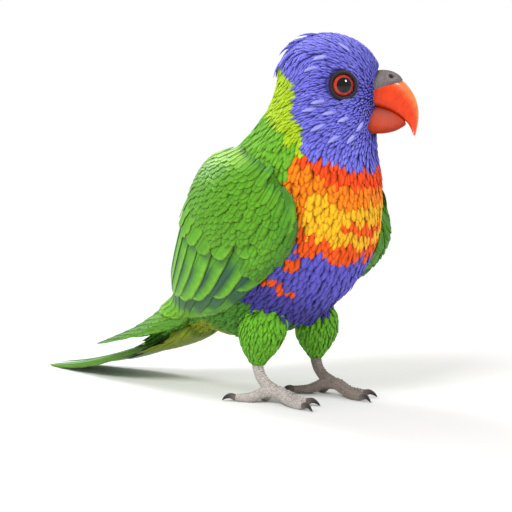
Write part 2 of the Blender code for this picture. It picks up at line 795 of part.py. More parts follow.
def toe_path(foot, angle, length):
    """Points of a toe from the hub to its last joint."""
    turn = math.radians(angle)
    ahead = np.array([math.cos(turn), math.sin(turn)])
    steps = np.linspace(0.0, length, len(TOE_RISE))
    return [
        ((foot[0] + ahead[0] * d) * MM, (foot[1] + ahead[1] * d) * MM, z * MM)
        for d, z in zip(steps, TOE_RISE)
    ]


def make_foot(name, foot, parts, scraps):
    shank = [((foot[0] + x) * MM, foot[1] * MM, z * MM) for x, z, _ in TARSUS]
    girths = [r * MM for _, _, r in TARSUS]
    leg = tube(name, shank, girths, parts)
    toes = [
        tube("toe", toe_path(foot, angle, length), [g * MM for g in TOE_GIRTH], scraps)
        for angle, length in TOES
    ]
    combine(leg, toes, "UNION")
    combine(leg, [floor_cutter(scraps)], "DIFFERENCE", "MANIFOLD")
    finish(leg, "foot")


def make_claws(name, foot, parts):
    for number, (angle, length) in enumerate(TOES, 1):
        turn = math.radians(angle)
        start = length + GAP / MM
        points = [
            (
                (foot[0] + math.cos(turn) * (start + d)) * MM,
                (foot[1] + math.sin(turn) * (start + d)) * MM,
                z * MM,
            )
            for d, z in zip(CLAW_ALONG, CLAW_RISE)
        ]
        claw = tube(f"{name}_{number}", points, [g * MM for g in CLAW_GIRTH], parts, 1)
        finish(claw, "claw")


def main():
    for old in list(bpy.data.objects):
        bpy.data.objects.remove(old)
    scene = bpy.context.scene
    parts = bpy.data.collections.new("rainbow_lorikeet")
    scraps = bpy.data.collections.new("cutters_and_pieces")
    scene.collection.children.link(parts)
    scene.collection.children.link(scraps)
    make_torso(parts)
    make_neck(parts)
    make_head(parts, scraps)
    make_eyes(parts)
    make_bill(parts, scraps)
    make_wing("wing_right", 1, parts, scraps)
    make_wing("wing_left", -1, parts, scraps)
    make_tail(parts, scraps)
    for side, foot in FEET.items():
        make_thigh(f"thigh_{side}", foot, parts, scraps)
        make_foot(f"foot_{side}", foot, parts, scraps)
        make_claws(f"claw_{side}", foot, parts)


main()
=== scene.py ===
"""Rainbow lorikeet, life size: skin, plumage, bill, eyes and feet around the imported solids.

Lengths are in metres and MM turns millimetres into them. The body is described as in the part's
source: a spine from the tail to the crown, and points on it by spine distance s and by angle from
the back towards the bird's right. The head is turned about the neck's upright axis.
"""

import math
from collections import namedtuple

import bmesh
import bpy
import numpy as np
from mathutils import Matrix, Vector
from mathutils.bvhtree import BVHTree


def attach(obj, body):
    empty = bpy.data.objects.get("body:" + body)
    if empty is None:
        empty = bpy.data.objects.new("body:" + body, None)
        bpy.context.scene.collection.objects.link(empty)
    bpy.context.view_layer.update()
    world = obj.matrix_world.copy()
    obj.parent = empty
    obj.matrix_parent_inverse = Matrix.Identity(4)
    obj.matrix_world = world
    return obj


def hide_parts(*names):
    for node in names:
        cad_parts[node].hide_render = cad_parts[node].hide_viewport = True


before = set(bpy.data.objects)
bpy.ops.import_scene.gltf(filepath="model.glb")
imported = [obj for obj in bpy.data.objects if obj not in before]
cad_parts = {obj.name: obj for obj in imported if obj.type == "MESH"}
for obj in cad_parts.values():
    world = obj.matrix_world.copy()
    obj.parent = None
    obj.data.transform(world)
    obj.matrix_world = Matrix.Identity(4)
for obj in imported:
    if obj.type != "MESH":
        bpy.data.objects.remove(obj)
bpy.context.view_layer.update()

MM = 0.001
BODY = "root"
ORIGIN = np.array((-50.9, 0.0, 0.0)) * MM
SEED = 20
SIDES = {"right": 1, "left": -1}

# Spine stations from the tail tip to the middle of the head, in mm:
# centre x, centre z, reach to the back, reach to the front, half width.
SPINE = (
    (-152.5, -0.4, 6.0, 6.0, 16.0),
    (-128.0, 4.0, 7.0, 6.0, 17.0),
    (-103.0, 11.0, 7.5, 6.0, 18.0),
    (-78.0, 20.5, 8.0, 7.0, 17.5),
    (-64.0, 28.5, 9.0, 9.0, 15.5),
    (-52.5, 37.0, 11.0, 11.0, 14.5),
    (-41.5, 46.5, 21.0, 27.0, 24.0),
    (-28.5, 58.5, 30.0, 38.0, 31.5),
    (-13.0, 75.0, 36.5, 45.5, 37.5),
    (1.5, 93.5, 36.5, 45.5, 38.5),
    (10.0, 110.0, 31.0, 37.0, 33.0),
    (14.5, 123.0, 26.5, 29.0, 27.0),
    (17.0, 133.0, 23.8, 25.6, 22.8),
    (18.8, 141.0, 23.2, 24.4, 20.8),
    (20.0, 149.0, 23.4, 24.0, 19.8),
)
TAIL_ROOT = 5
CROWN_RISE = 20.0 * MM
HEAD_TURN = math.radians(36.0)
NECK_AXIS_X = 14.0 * MM
TURN_FROM = 12.0 * MM
TURN_TO = 40.0 * MM
NECK_LEAN = math.radians(66.0)

# Bill rows in mm, in the sagittal plane of the unturned head: culmen and cutting edge x, z, half width.
UPPER_BILL = (
    (38.0, 150.4, 36.0, 136.2, 8.4),
    (44.9, 151.0, 40.8, 135.8, 8.2),
    (51.4, 148.8, 45.2, 134.6, 7.5),
    (56.7, 143.8, 49.4, 132.8, 6.4),
    (59.9, 137.4, 53.2, 130.4, 5.1),
    (60.7, 130.6, 56.2, 127.4, 3.4),
    (59.3, 122.8, 58.6, 122.6, 0.6),
)
LOWER_BILL = (
    (36.0, 135.8, 35.0, 125.0, 7.4),
    (40.6, 135.4, 40.2, 123.8, 7.1),
    (45.0, 134.4, 45.4, 123.6, 6.4),
    (49.4, 132.6, 50.4, 124.7, 5.2),
    (53.2, 130.0, 54.3, 127.0, 3.0),
)
CERE = (
    (37.5, 150.6, 36.0, 139.4, 9.0),
    (42.8, 152.2, 38.6, 139.2, 9.0),
    (47.8, 151.9, 41.4, 140.4, 8.4),
    (51.6, 150.0, 45.0, 142.8, 7.4),
    (53.4, 147.8, 48.4, 144.0, 5.4),
)
NOSTRIL = (47.6, 5.9, 148.7)
NOSTRIL_RADIUS = 1.7 * MM
NOSTRIL_DEPTH = 1.5 * MM
NOSTRIL_LIP = 0.28 * MM
BILL_BASE = np.array((39.0, 0.0, 140.0)) * MM

# Eyes: place by distance up the spine and angle from the back, ball, and the bare ring round it.
EYE_RISE = 134.2 * MM
EYE_ROUND = math.radians(106.0)
EYE_RADIUS = 5.8 * MM
EYE_SET_IN = 3.6 * MM
PUPIL_RADIUS = 3.4
IRIS_RADIUS = 4.85
CORNEA_BULGE = 0.5 * MM
BEHIND_EYE = 9.0 * MM  # moves the ball's hidden half off the iris on its map
RING_RADIUS = 5.85 * MM
RING_THICK = 0.95 * MM
RING_FLATNESS = 0.8
RING_SUNK = 0.3 * MM
RING_BEADS = 36
BEAD_SWELL = 0.07

FEET = {"right": (3.0, -17.0), "left": (11.5, 17.0)}
THIGH = (  # from the flank down to the ankle: ahead of the hub, inwards, height, girth
    (-4.0, 5.0, 56.0, 6.0),
    (-3.5, 3.2, 50.0, 9.5),
    (-3.0, 2.4, 43.5, 11.2),
    (-3.5, 0.8, 36.5, 12.0),
    (-5.0, 0.0, 30.0, 11.2),
    (-7.0, 0.0, 24.0, 8.4),
    (-8.6, 0.0, 19.8, 5.0),
    (-9.1, 0.0, 17.6, 3.6),
)
THIGH_LEAN = 0.7
THIGH_LEAN_RISE = 32.0
THIGH_FLATNESS = 0.92
THIGH_FADE = (57.0, 51.0)  # heights over which the thigh's coat takes over from the belly's
HIP_X = -4.0
TARSUS = (  # from the ankle down to the hub: ahead of the hub, height, girth
    (-9.1, 17.2, 2.7),
    (-9.1, 15.4, 2.5),
    (-7.7, 11.8, 2.4),
    (-4.4, 8.2, 2.5),
    (-0.5, 5.9, 3.0),
    (1.8, 5.2, 2.2),
)
TOES = ((-14.0, 21.0), (17.0, 16.0), (158.0, 12.0), (-156.0, 18.0))
TOE_RISE = (5.4, 5.2, 3.6, 2.1, 1.75, 1.75)
TOE_GIRTH = (2.7, 2.5, 2.3, 2.1, 2.0, 1.5)
CLAW_ALONG = (0.4, 1.9, 3.5, 5.0, 6.1)
CLAW_RISE = (2.1, 2.5, 2.3, 1.5, 0.5)
CLAW_GIRTH = (1.5, 1.35, 1.05, 0.65, 0.22)

# Wing outline: distance up the spine in mm, the back edge, and the front edge of the right and of
# the left wing, in degrees.
WING_EDGE = (
    (-66.0, 34.0, 44.0, 44.0),
    (-45.0, 22.0, 52.0, 52.0),
    (-23.0, 12.0, 72.0, 72.0),
    (-3.0, 9.0, 94.0, 94.0),
    (13.0, 9.0, 112.0, 114.0),
    (29.0, 10.0, 120.0, 127.0),
    (47.0, 12.0, 124.0, 134.0),
    (66.0, 18.0, 126.5, 137.0),
    (84.0, 27.0, 126.0, 131.0),
    (93.0, 42.0, 112.0, 114.0),
    (97.0, 56.0, 98.0, 98.0),
)
WING_CORE = (  # spine distance and thickness of the fleshy part, mm
    (97.0, 0.5),
    (94.0, 2.2),
    (88.0, 3.8),
    (79.0, 4.8),
    (70.0, 5.0),
    (60.0, 4.7),
    (48.0, 3.8),
    (34.0, 2.4),
)
WING_LOW, WING_TOP = WING_EDGE[0][0] * MM, WING_EDGE[-1][0] * MM
WING_LIFT = 1.35 * MM
WING_FLOOR = 2.2 * MM

# A row of wing feathers, from the breast's side to the back: roots and tips as distance up the
# spine in mm and angle in degrees, at evenly spread places along the row, how sharply the feathers
# curve in at their tips, and at their roots and tips the height above the wing's floor in mm.
Tier = namedtuple("Tier", "count root_at root_angle tip_at tip_angle bend height half_width tilt shape")
POINTED = ((0.0, 0.1, 0.3, 0.6, 0.8, 0.92, 0.98, 1.0), (0.45, 0.72, 0.95, 1.0, 0.82, 0.52, 0.26, 0.05))
ROUNDED = ((0.0, 0.1, 0.3, 0.6, 0.8, 0.92, 0.98, 1.0), (0.45, 0.75, 0.95, 1.0, 0.97, 0.78, 0.46, 0.12))
PRIMARIES = Tier(
    8, (60, 40), (127, 96), (-65, -16), (39, 25), (2.5, 1.4), ((1.5, 2.0), (0.9, 2.8)), 5.2, 0.025, POINTED
)
SECONDARIES = Tier(
    10, (60, 50), (118, 22), (18, 2, -6, -11, -13, -14), (114, 20), (1.0, 1.0), ((2.2, 2.8), (3.0, 3.5)),
    5.4, 0.09, ROUNDED,
)
GREATER_COVERTS = Tier(
    10, (92, 77, 66, 59, 56, 53, 52, 51, 50, 49), (119, 22),
    (46, 33, 22, 14.5, 10, 7, 5.5, 4.5, 4, 3), (119, 20), (1.0, 1.0),
    ((1.6, 2.6, 3.0, 3.0), (3.4, 4.2, 4.4, 4.4)), 5.5, 0.11, ROUNDED,
)
MEDIAN_COVERTS = Tier(
    10, (91, 82, 74, 69, 66, 64, 63, 62, 61, 61), (117, 22),
    (78, 61, 51.5, 47, 43.5, 41.5, 40.5, 40, 39.5, 39), (118, 20), (1.0, 1.0),
    ((2.0, 2.8, 3.0, 3.0), (4.4, 5.0, 5.2, 5.2)), 5.7, 0.11, ROUNDED,
)

# Tail: one side's feathers from the middle one outwards.
TAIL_LENGTH = (111.0, 108.0, 101.0, 92.0, 82.0, 71.0)
TAIL_ROOT_OUT = (1.4, 1.5)
TAIL_TIP_OUT = (3.9, 2.0)
TAIL_HALF_WIDTH = (6.4, -0.22)
TAIL_SUNK = 6.0 * MM
TAIL_MIDDLE_GAP = 0.2 * MM
TAIL_ROOF = 0.12
TAIL_TOP = 1.6
TAIL_STEP = 0.46
TAIL_CORE = (  # distance back from the root, reach up, reach down, half width
    (0.35, 10.2, 10.6, 14.0),
    (8.0, 7.6, 9.6, 14.2),
    (16.0, 5.4, 8.0, 13.6),
    (26.0, 3.6, 5.8, 12.6),
    (38.0, 2.2, 3.4, 10.6),
    (48.0, 1.2, 1.4, 6.5),
)

COAT_DEPTH = 1.2 * MM  # how far the skin lies inside the outer surface of the plumage
SKIN_VOXEL = 0.8 * MM
FLOOR_CLEAR = 0.04 * MM

# Camera: the photo's three-quarter view of the bird's right side.
VIEW_AZIMUTH = math.radians(38.0)
VIEW_ELEVATION = math.radians(5.5)
LENS = 110.0
SENSOR = 36.0
MM_PER_PIXEL = 0.465
PICTURE = 512
FRAME_SHIFT = (-16.2, 66.5)  # the picture's centre: mm to the right of the spine's origin, and up
VIEW_RIGHT = np.array([math.cos(VIEW_AZIMUTH), math.sin(VIEW_AZIMUTH), 0.0])
VIEW_TOWARD = np.array([math.sin(VIEW_AZIMUTH), -math.cos(VIEW_AZIMUTH), 0.0])


def linear(hex_colour):
    """Linear red, green and blue of an sRGB hex colour."""
    values = np.array([int(hex_colour[i : i + 2], 16) for i in (1, 3, 5)]) / 255
    return np.where(values <= 0.04045, values / 12.92, ((values + 0.055) / 1.055) ** 2.4)


# Plumage colours: the middle of a feather, and its margin.
Hue = namedtuple("Hue", "main rim")
HUES = {
    name: Hue(linear(main), linear(rim))
    for name, main, rim in (
        ("head", "#6C6BDC", "#6563D0"),
        ("streak", "#A4A4FF", "#8686EC"),
        # crown: painted highlight, lighter along the top of the head
        ("crown", "#908EF6", "#7C7AE4"),
        ("collar", "#AACE10", "#BAD82A"),
        ("green", "#66AE24", "#7CBE34"),
        # back: painted highlight, lighter along the back and the wings' back edges
        ("back", "#8CC83A", "#A8DC50"),
        ("rump", "#4E9422", "#68AC2C"),
        ("scarlet", "#FF5216", "#F64A12"),
        ("orange", "#FF8A12", "#FF7E10"),
        ("amber", "#FFC020", "#FFB41C"),
        ("ember", "#FF6014", "#F85610"),
        ("belly", "#6860D0", "#5E57C4"),
        # shade: painted shade, darker on the lower belly
        ("shade", "#443C92", "#383080"),
        ("thigh", "#6EB82A", "#60A826"),
        ("vent", "#7C900F", "#90A21A"),
        ("flank", "#468824", "#5AA02A"),
    )
}


def smoothstep(low, high, value):
    """Share from 0 at low to 1 at high, with soft ends."""
    share = np.clip((np.asarray(value, float) - low) / (high - low), 0.0, 1.0)
    return share * share * (3 - 2 * share)


def unit(vectors):
    """Vectors of length one in the same directions."""
    return vectors / np.maximum(np.linalg.norm(vectors, axis=-1, keepdims=True), 1e-12)


def lerp(first, last, share):
    """The value that lies the given share of the way from first to last."""
    return first + (last - first) * share


def circle(count):
    """Evenly spread angles round a whole turn."""
    return np.arange(count) * 2 * math.pi / count


def hermite(knots, values, at):
    """Smooth curve through values at the knots, read at one or many places."""
    knots, values, at = (np.asarray(a, float) for a in (knots, values, at))
    slopes = np.gradient(values, knots, axis=0)
    index = np.clip(np.searchsorted(knots, at, side="right") - 1, 0, len(knots) - 2)
    width = knots[index + 1] - knots[index]
    u = (at - knots[index]) / width
    if values.ndim > 1:
        u, width = u[..., None], width[..., None]
    u2, u3 = u * u, u * u * u
    return (
        (2 * u3 - 3 * u2 + 1) * values[index]
        + (u3 - 2 * u2 + u) * width * slopes[index]
        + (3 * u2 - 2 * u3) * values[index + 1]
        + (u3 - u2) * width * slopes[index + 1]
    )


# The body's shape

STATION = np.array(SPINE) * MM
STEPS = np.hypot(*np.diff(STATION[:, :2], axis=0).T)
REACH = np.concatenate([[0.0], np.cumsum(STEPS)])
REACH -= REACH[TAIL_ROOT]
TOP = REACH[-1]


def frame_at(s):
    """Centre, unit vector to the back, and the three radii at spine distance s."""
    s = np.asarray(s, float)
    inside = np.minimum(s, TOP)
    row = hermite(REACH, STATION, inside)
    step = 0.5 * MM
    ahead = hermite(REACH, STATION[:, :2], np.minimum(inside + step, TOP))
    behind = hermite(REACH, STATION[:, :2], inside - step)
    along = unit(ahead - behind)
    over = (s - inside)[..., None]
    centre = row[..., :2] + along * over
    zero = np.zeros_like(centre[..., 0])
    centre = np.stack([centre[..., 0], zero, centre[..., 1]], axis=-1)
    back = np.stack([-along[..., 1], zero, along[..., 0]], axis=-1)
    return centre, back, row[..., 2:]


def body_point(s, angle, lift=0.0):
    """Point on the body, angle from the back towards the bird's right, lifted off the surface."""
    s, angle, lift = np.broadcast_arrays(
        np.asarray(s, float), np.asarray(angle, float), np.asarray(lift, float)
    )
    centre, back, radii = frame_at(s)
    over = np.clip((s - TOP) / (CROWN_RISE + lift), 0.0, 1.0)
    shrink = np.sqrt(1.0 - over * over)
    cosine, sine = np.cos(angle), np.sin(angle)
    deep = np.where(cosine >= 0, radii[..., 0], radii[..., 1]) + lift
    wide = radii[..., 2] + lift
    point = centre + back * (shrink * deep * cosine)[..., None]
    point[..., 1] -= shrink * wide * sine
    return point


def arc_rate(s, angle):
    """Surface distance for one radian of angle."""
    radii = frame_at(s)[2]
    deep = np.where(np.cos(angle) >= 0, radii[..., 0], radii[..., 1])
    return np.hypot(deep * np.sin(angle), radii[..., 2] * np.cos(angle))


def head_angle(points):
    """How far each point of the unturned bird turns with the head."""
    base = np.array([STATION[10, 0], 0.0, STATION[10, 1]])
    up_neck = np.array([math.cos(NECK_LEAN), 0.0, math.sin(NECK_LEAN)])
    return HEAD_TURN * smoothstep(TURN_FROM, TURN_TO, (points - base) @ up_neck)


def spin(points, angle):
    """Turns points about the neck's upright axis."""
    made = np.array(points, float)
    x, y = made[..., 0] - NECK_AXIS_X, made[..., 1].copy()
    made[..., 0] = NECK_AXIS_X + x * np.cos(angle) - y * np.sin(angle)
    made[..., 1] = x * np.sin(angle) + y * np.cos(angle)
    return made


def turn_head(points):
    """Points of the unturned bird where the turned head and neck carry them."""
    points = np.asarray(points, float)
    return spin(points, head_angle(points))


def unturn_head(points):
    """The unturned place of points of the turned bird, found by repeated correction."""
    found = np.array(points, float)
    for _ in range(18):
        found = spin(points, -head_angle(found))
    return found


def to_world(points):
    """From the spine's unturned frame to the model's frame."""
    return turn_head(points) - ORIGIN


def from_world(points):
    """From the model's frame back to the spine's unturned frame."""
    return unturn_head(points + ORIGIN)


SPINE_STOPS = np.arange(-66.0, TOP / MM + 22.0, 0.5) * MM
SPINE_CENTRES = frame_at(SPINE_STOPS)[0]


def spine_place(points):
    """Spine distance and angle from the back of points near the unturned body."""
    flat = points[:, None, ::2] - SPINE_CENTRES[None, :, ::2]
    s = SPINE_STOPS[np.argmin((flat**2).sum(axis=2), axis=1)]
    for _ in range(2):
        centre, back, radii = frame_at(s)
        along = np.stack([back[:, 2], back[:, 1], -back[:, 0]], axis=-1)
        s = s + np.clip(((points - centre) * along).sum(axis=1), -MM, MM)
    centre, back, radii = frame_at(s)
    rise = ((points - centre) * back).sum(axis=1)
    deep = np.where(rise >= 0, radii[:, 0], radii[:, 1])
    angle = np.arctan2(-points[:, 1] / radii[:, 2], rise / deep)
    over = np.clip((s - TOP) / CROWN_RISE, 0.0, 0.98)
    fullness = np.hypot(points[:, 1] / radii[:, 2], rise / deep) / np.sqrt(1 - over * over)
    return s, angle, fullness


def thigh_axis(foot, z):
    """Centre x, y and girth of a thigh at height z, all in mm."""
    rows = np.array(THIGH)[::-1]
    x0, y0 = foot
    ahead, inward, girth = (np.interp(z, rows[:, 2], rows[:, i]) for i in (0, 1, 3))
    back = (x0 - HIP_X) * THIGH_LEAN * np.clip((z - THIGH[-1][2]) / THIGH_LEAN_RISE, 0.0, 1.0)
    return x0 + ahead - back, y0 - np.sign(y0) * inward, girth


def thigh_share(points, fullness):
    """How far points belong to a thigh rather than to the belly."""
    mm = points / MM
    near = np.full(len(points), 9.0)
    for foot in FEET.values():
        x, y, girth = thigh_axis(foot, mm[:, 2])
        near = np.minimum(near, np.hypot(mm[:, 0] - x, (mm[:, 1] - y) / THIGH_FLATNESS) / girth)
    outside_belly = smoothstep(0.97, 1.05, fullness)
    return outside_belly * smoothstep(1.35, 1.1, near) * smoothstep(*THIGH_FADE, mm[:, 2])


# Meshes

Bunch = namedtuple("Bunch", "points tint vane bake")


def build_mesh(name, points, polygons):
    """Mesh from points and arrays of polygons, each array with its own number of corners."""
    corners = np.concatenate([group.ravel() for group in polygons]).astype(np.int32)
    sizes = np.concatenate([np.full(len(group), group.shape[1]) for group in polygons])
    starts = np.concatenate([[0], np.cumsum(sizes)[:-1]]).astype(np.int32)
    mesh = bpy.data.meshes.new(name)
    mesh.vertices.add(len(points))
    mesh.vertices.foreach_set("co", np.ascontiguousarray(points, np.float32).ravel())
    mesh.loops.add(len(corners))
    mesh.loops.foreach_set("vertex_index", corners)
    mesh.polygons.add(len(starts))
    mesh.polygons.foreach_set("loop_start", starts)
    mesh.update(calc_edges=True)
    mesh.shade_smooth()
    return mesh


def grid_polygons(count, stations, around, looped=False):
    """Quads and end caps of count closed tubes, each of stations rings of around points.

    A looped tube joins its last ring to its first instead of having caps.
    """
    first = np.arange(count)[:, None, None] * stations * around
    row = np.arange(stations if looped else stations - 1)[None, :, None]
    ring, ahead = first + row * around, first + (row + 1) % stations * around
    spot = np.arange(around)[None, None, :]
    after = (spot + 1) % around
    corners = [ring + spot, ring + after, ahead + after, ahead + spot]
    quads = np.stack(corners, axis=-1).reshape(-1, 4)
    if looped:
        return [quads]
    start = (first[:, 0] + np.arange(around)[::-1]).reshape(-1, around)
    end = (first[:, 0] + (stations - 1) * around + np.arange(around)).reshape(-1, around)
    return [quads, start, end]


def points_of(mesh, field="co"):
    """Places, or another vector field, of a mesh's vertices."""
    values = np.empty(len(mesh.vertices) * 3, np.float32)
    mesh.vertices.foreach_get(field, values)
    return values.reshape(-1, 3).astype(float)


def add_map(mesh, name, per_point):
    """Adds a UV map from one place for each point."""
    layer = mesh.uv_layers.new(name=name)
    corners = np.empty(len(mesh.loops), np.int32)
    mesh.loops.foreach_get("vertex_index", corners)
    layer.data.foreach_set("uv", np.ascontiguousarray(per_point[corners], np.float32).ravel())


def add_tint(mesh, colours):
    """Adds the colour of each point, which the materials read as tint."""
    layer = mesh.color_attributes.new("tint", "FLOAT_COLOR", "POINT")
    full = np.ones((len(colours), 4), np.float32)
    full[:, :3] = colours
    layer.data.foreach_set("color", full.ravel())


def add_object(name, data):
    """Puts an object in the scene."""
    made = bpy.data.objects.new(name, data)
    bpy.context.scene.collection.objects.link(made)
    return made


def add_piece(name, mesh, material, replaced=()):
    """Puts a mesh in the scene as a piece of the bird."""
    piece = add_object(name, mesh)
    mesh.materials.clear()
    mesh.materials.append(material)
    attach(piece, BODY)
    if replaced:
        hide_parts(*replaced)
    return piece


def plumage(name, bunches, material, replaced=()):
    """One piece from bunches of feathers, each bunch feathers x stations x ring points."""
    polygons, points, tint, vane, bake = [], [], [], [], []
    first = 0
    for bunch in bunches:
        count, stations, around = bunch.points.shape[:3]
        polygons += [group + first for group in grid_polygons(count, stations, around)]
        first += count * stations * around
        for store, values in zip((points, tint, vane, bake), bunch):
            store.append(values.reshape(-1, values.shape[-1]))
    points = np.concatenate(points)
    points[:, 2] = np.maximum(points[:, 2], FLOOR_CLEAR)
    mesh = build_mesh(name, points, polygons)
    add_tint(mesh, np.concatenate(tint))
    add_map(mesh, "OFBake", np.concatenate(bake))
    add_map(mesh, "Vane", np.concatenate(vane))
    return add_piece(name, mesh, material, replaced)


# Feathers

PATCH = 0.003  # width of one feather's patch on the bake map
MAP_START = -60.0 * MM  # spine distance at the bake map's lower edge
MAP_LENGTH = 220.0 * MM


def vane_section(columns, thick, ridge, arch):
    """Cross-section of a vane: place across from -1 to 1, rise for thickness, and rise for arch.

    The ring runs over the top from one edge to the other and back along the underside.
    """
    top = np.array(columns)
    low = top[1:-1][::-1]
    across = np.concatenate([top, low])
    body = np.concatenate([(1 - top**2) * thick / 2, -(1 - low**2) * thick / 2])
    middle = np.concatenate([np.where(top == 0, ridge, 0.0), np.zeros(len(low))])
    return across, body + middle, -arch * across**2


def ragged(rng, shape, widths, amount):
    """Half widths of both edges of each feather, uneven as barbs part: edges x feathers x stations."""
    uneven = 1 + amount * rng.standard_normal((2,) + shape)
    uneven[:, :, 0] = 1
    uneven[:, :, -1] = 1
    return np.maximum(widths * np.clip(uneven, 0.6, 1.25), 0.02 * MM)


def unwrap(s, angle):
    """Place of body points on the bake map."""
    up = lerp(0.03, 0.97, (s - MAP_START) / MAP_LENGTH)
    return np.clip(np.stack([angle / (2 * math.pi) + 0.5, up], axis=-1), 0.0, 1.0)


def bake_map(s, angle, across, along):
    """Patch about PATCH wide at the root's place on the body's unwrap, feathers x stations x ring."""
    spread = np.stack(np.broadcast_arrays(across * PATCH / 2, along * PATCH), axis=-1)
    return np.clip(unwrap(s, angle)[:, None, None, :] + spread, 0.001, 0.999)


def feather_tint(rng, hues, rims, across, along, root_dark=0.45, spread=0.05):
    """Colours over vanes from each feather's middle and margin colours."""
    edge = np.clip(np.abs(across) ** 2 * 0.8 + smoothstep(0.72, 1.0, along) * 0.5, 0, 1)[..., None]
    tint = lerp(hues[:, None, None, :], rims[:, None, None, :], edge)
    # Darker towards the root: partly the feather's dusky base and partly painted shade under the feathers
    # lying over it.
    depth = lerp(root_dark, 1.0, smoothstep(0.05, 0.62, along))[..., None]
    vary = 1 + spread * rng.standard_normal((len(hues), 1, 1, 1))
    return np.clip(tint * depth * vary, 0.0, 1.0)


class Surface:
    """Nearest points and smooth normals of a mesh."""

    def __init__(self, mesh):
        self.points = points_of(mesh)
        normals = points_of(mesh, "normal")
        mesh.calc_loop_triangles()
        faces = np.empty(len(mesh.loop_triangles) * 3, np.int32)
        mesh.loop_triangles.foreach_get("vertices", faces)
        self.faces = faces.reshape(-1, 3)
        self.face_normals = unit(normals[self.faces].mean(axis=1))
        self.tree = BVHTree.FromPolygons(self.points.tolist(), self.faces.tolist())

    def nearest(self, points):
        """Nearest surface points, normals there, and signed distances."""
        found = [self.tree.find_nearest(point) for point in points.tolist()]
        places = np.array([hit[0] for hit in found])
        normals = self.face_normals[[hit[2] for hit in found]]
        return places, normals, ((points - places) * normals).sum(axis=1)


def scatter(rng, surface, spacing_of, oversample=9.0):
    """Seeded points on a surface, each at least its own spacing from those already there."""
    corner = surface.points[surface.faces]
    middle = corner.mean(axis=1)
    spacing = spacing_of(middle)
    areas = np.linalg.norm(np.cross(corner[:, 1] - corner[:, 0], corner[:, 2] - corner[:, 0]), axis=1) / 2
    wanted = np.where(np.isfinite(spacing), areas / spacing**2, 0.0)
    total = int(wanted.sum() * oversample)
    chosen = rng.choice(len(wanted), total, p=wanted / wanted.sum())
    u, v = rng.random((2, total))
    flip = u + v > 1
    u[flip], v[flip] = 1 - u[flip], 1 - v[flip]
    first, second, third = (corner[chosen, i] for i in range(3))
    points = first + (second - first) * u[:, None] + (third - first) * v[:, None]
    radius = spacing[chosen]
    cell = radius.max()
    keys = np.floor(points / cell).astype(int).tolist()
    near = [(i, j, k) for i in (-1, 0, 1) for j in (-1, 0, 1) for k in (-1, 0, 1)]
    taken, kept = {}, []
    for number, (point, (a, b, c), reach) in enumerate(zip(points.tolist(), keys, radius.tolist())):
        x, y, z = point
        crowded = any(
            (x - other[0]) ** 2 + (y - other[1]) ** 2 + (z - other[2]) ** 2 < reach * reach
            for i, j, k in near
            for other in taken.get((a + i, b + j, c + k), ())
        )
        if not crowded:
            taken.setdefault((a, b, c), []).append(point)
            kept.append(number)
    return points[kept]


THIGH_LAY = np.array([-0.28, 0.0, -0.96])  # down the thigh and a little back


def lay_of(points):
    """Direction in which the coat lies at points of the model."""
    still = from_world(points)
    s, angle, fullness = spine_place(still)
    tailwards = unit(body_point(s - MM, angle) - body_point(s + MM, angle))
    from_bill = unit(still - BILL_BASE)
    away = np.linalg.norm(still - BILL_BASE, axis=1)
    crown = smoothstep(TOP + 2 * MM, TOP + 12 * MM, s)
    face = smoothstep(42 * MM, 26 * MM, away) * smoothstep(98 * MM, 118 * MM, s)
    course = lerp(tailwards, from_bill, np.maximum(crown, face)[:, None])
    course = lerp(course, THIGH_LAY, thigh_share(still, fullness)[:, None])
    step = 0.2 * MM
    return unit(turn_head(still + course * step) - turn_head(still))


def grow(surface, roots, lengths, stops, yaw):
    """Paths of feathers over a surface: points and normals, feathers x stations."""
    place, up, _ = surface.nearest(roots)
    cosine, sine = np.cos(yaw)[:, None], np.sin(yaw)[:, None]

    def course(points, normals):
        lay = lay_of(points)
        lay = unit(lay - normals * (lay * normals).sum(axis=1, keepdims=True))
        return lay * cosine + np.cross(normals, lay) * sine

    heading = course(place, up)
    places, ups = [place], [up]
    for step in np.diff(stops):
        place, up, _ = surface.nearest(place + heading * (lengths * step)[:, None])
        heading = unit(heading + course(place, up))
        places.append(place)
        ups.append(up)
    return np.stack(places, axis=1), np.stack(ups, axis=1)


CONTOUR_STOPS = np.array((0.0, 0.18, 0.42, 0.66, 0.84, 0.95, 1.0))
CONTOUR_WIDTHS = np.array((0.3, 0.75, 0.97, 1.0, 0.8, 0.48, 0.1))
LANCE_WIDTHS = np.array((0.35, 0.8, 1.0, 0.88, 0.58, 0.28, 0.04))
LIFT_ARC = math.radians(100)  # a body feather rises from its root along this arc
BODY_VANE = ((-1.0, 0.0, 1.0), 0.2 * MM, 0.03 * MM, 0.16)  # columns, thickness, shaft's ridge, arch


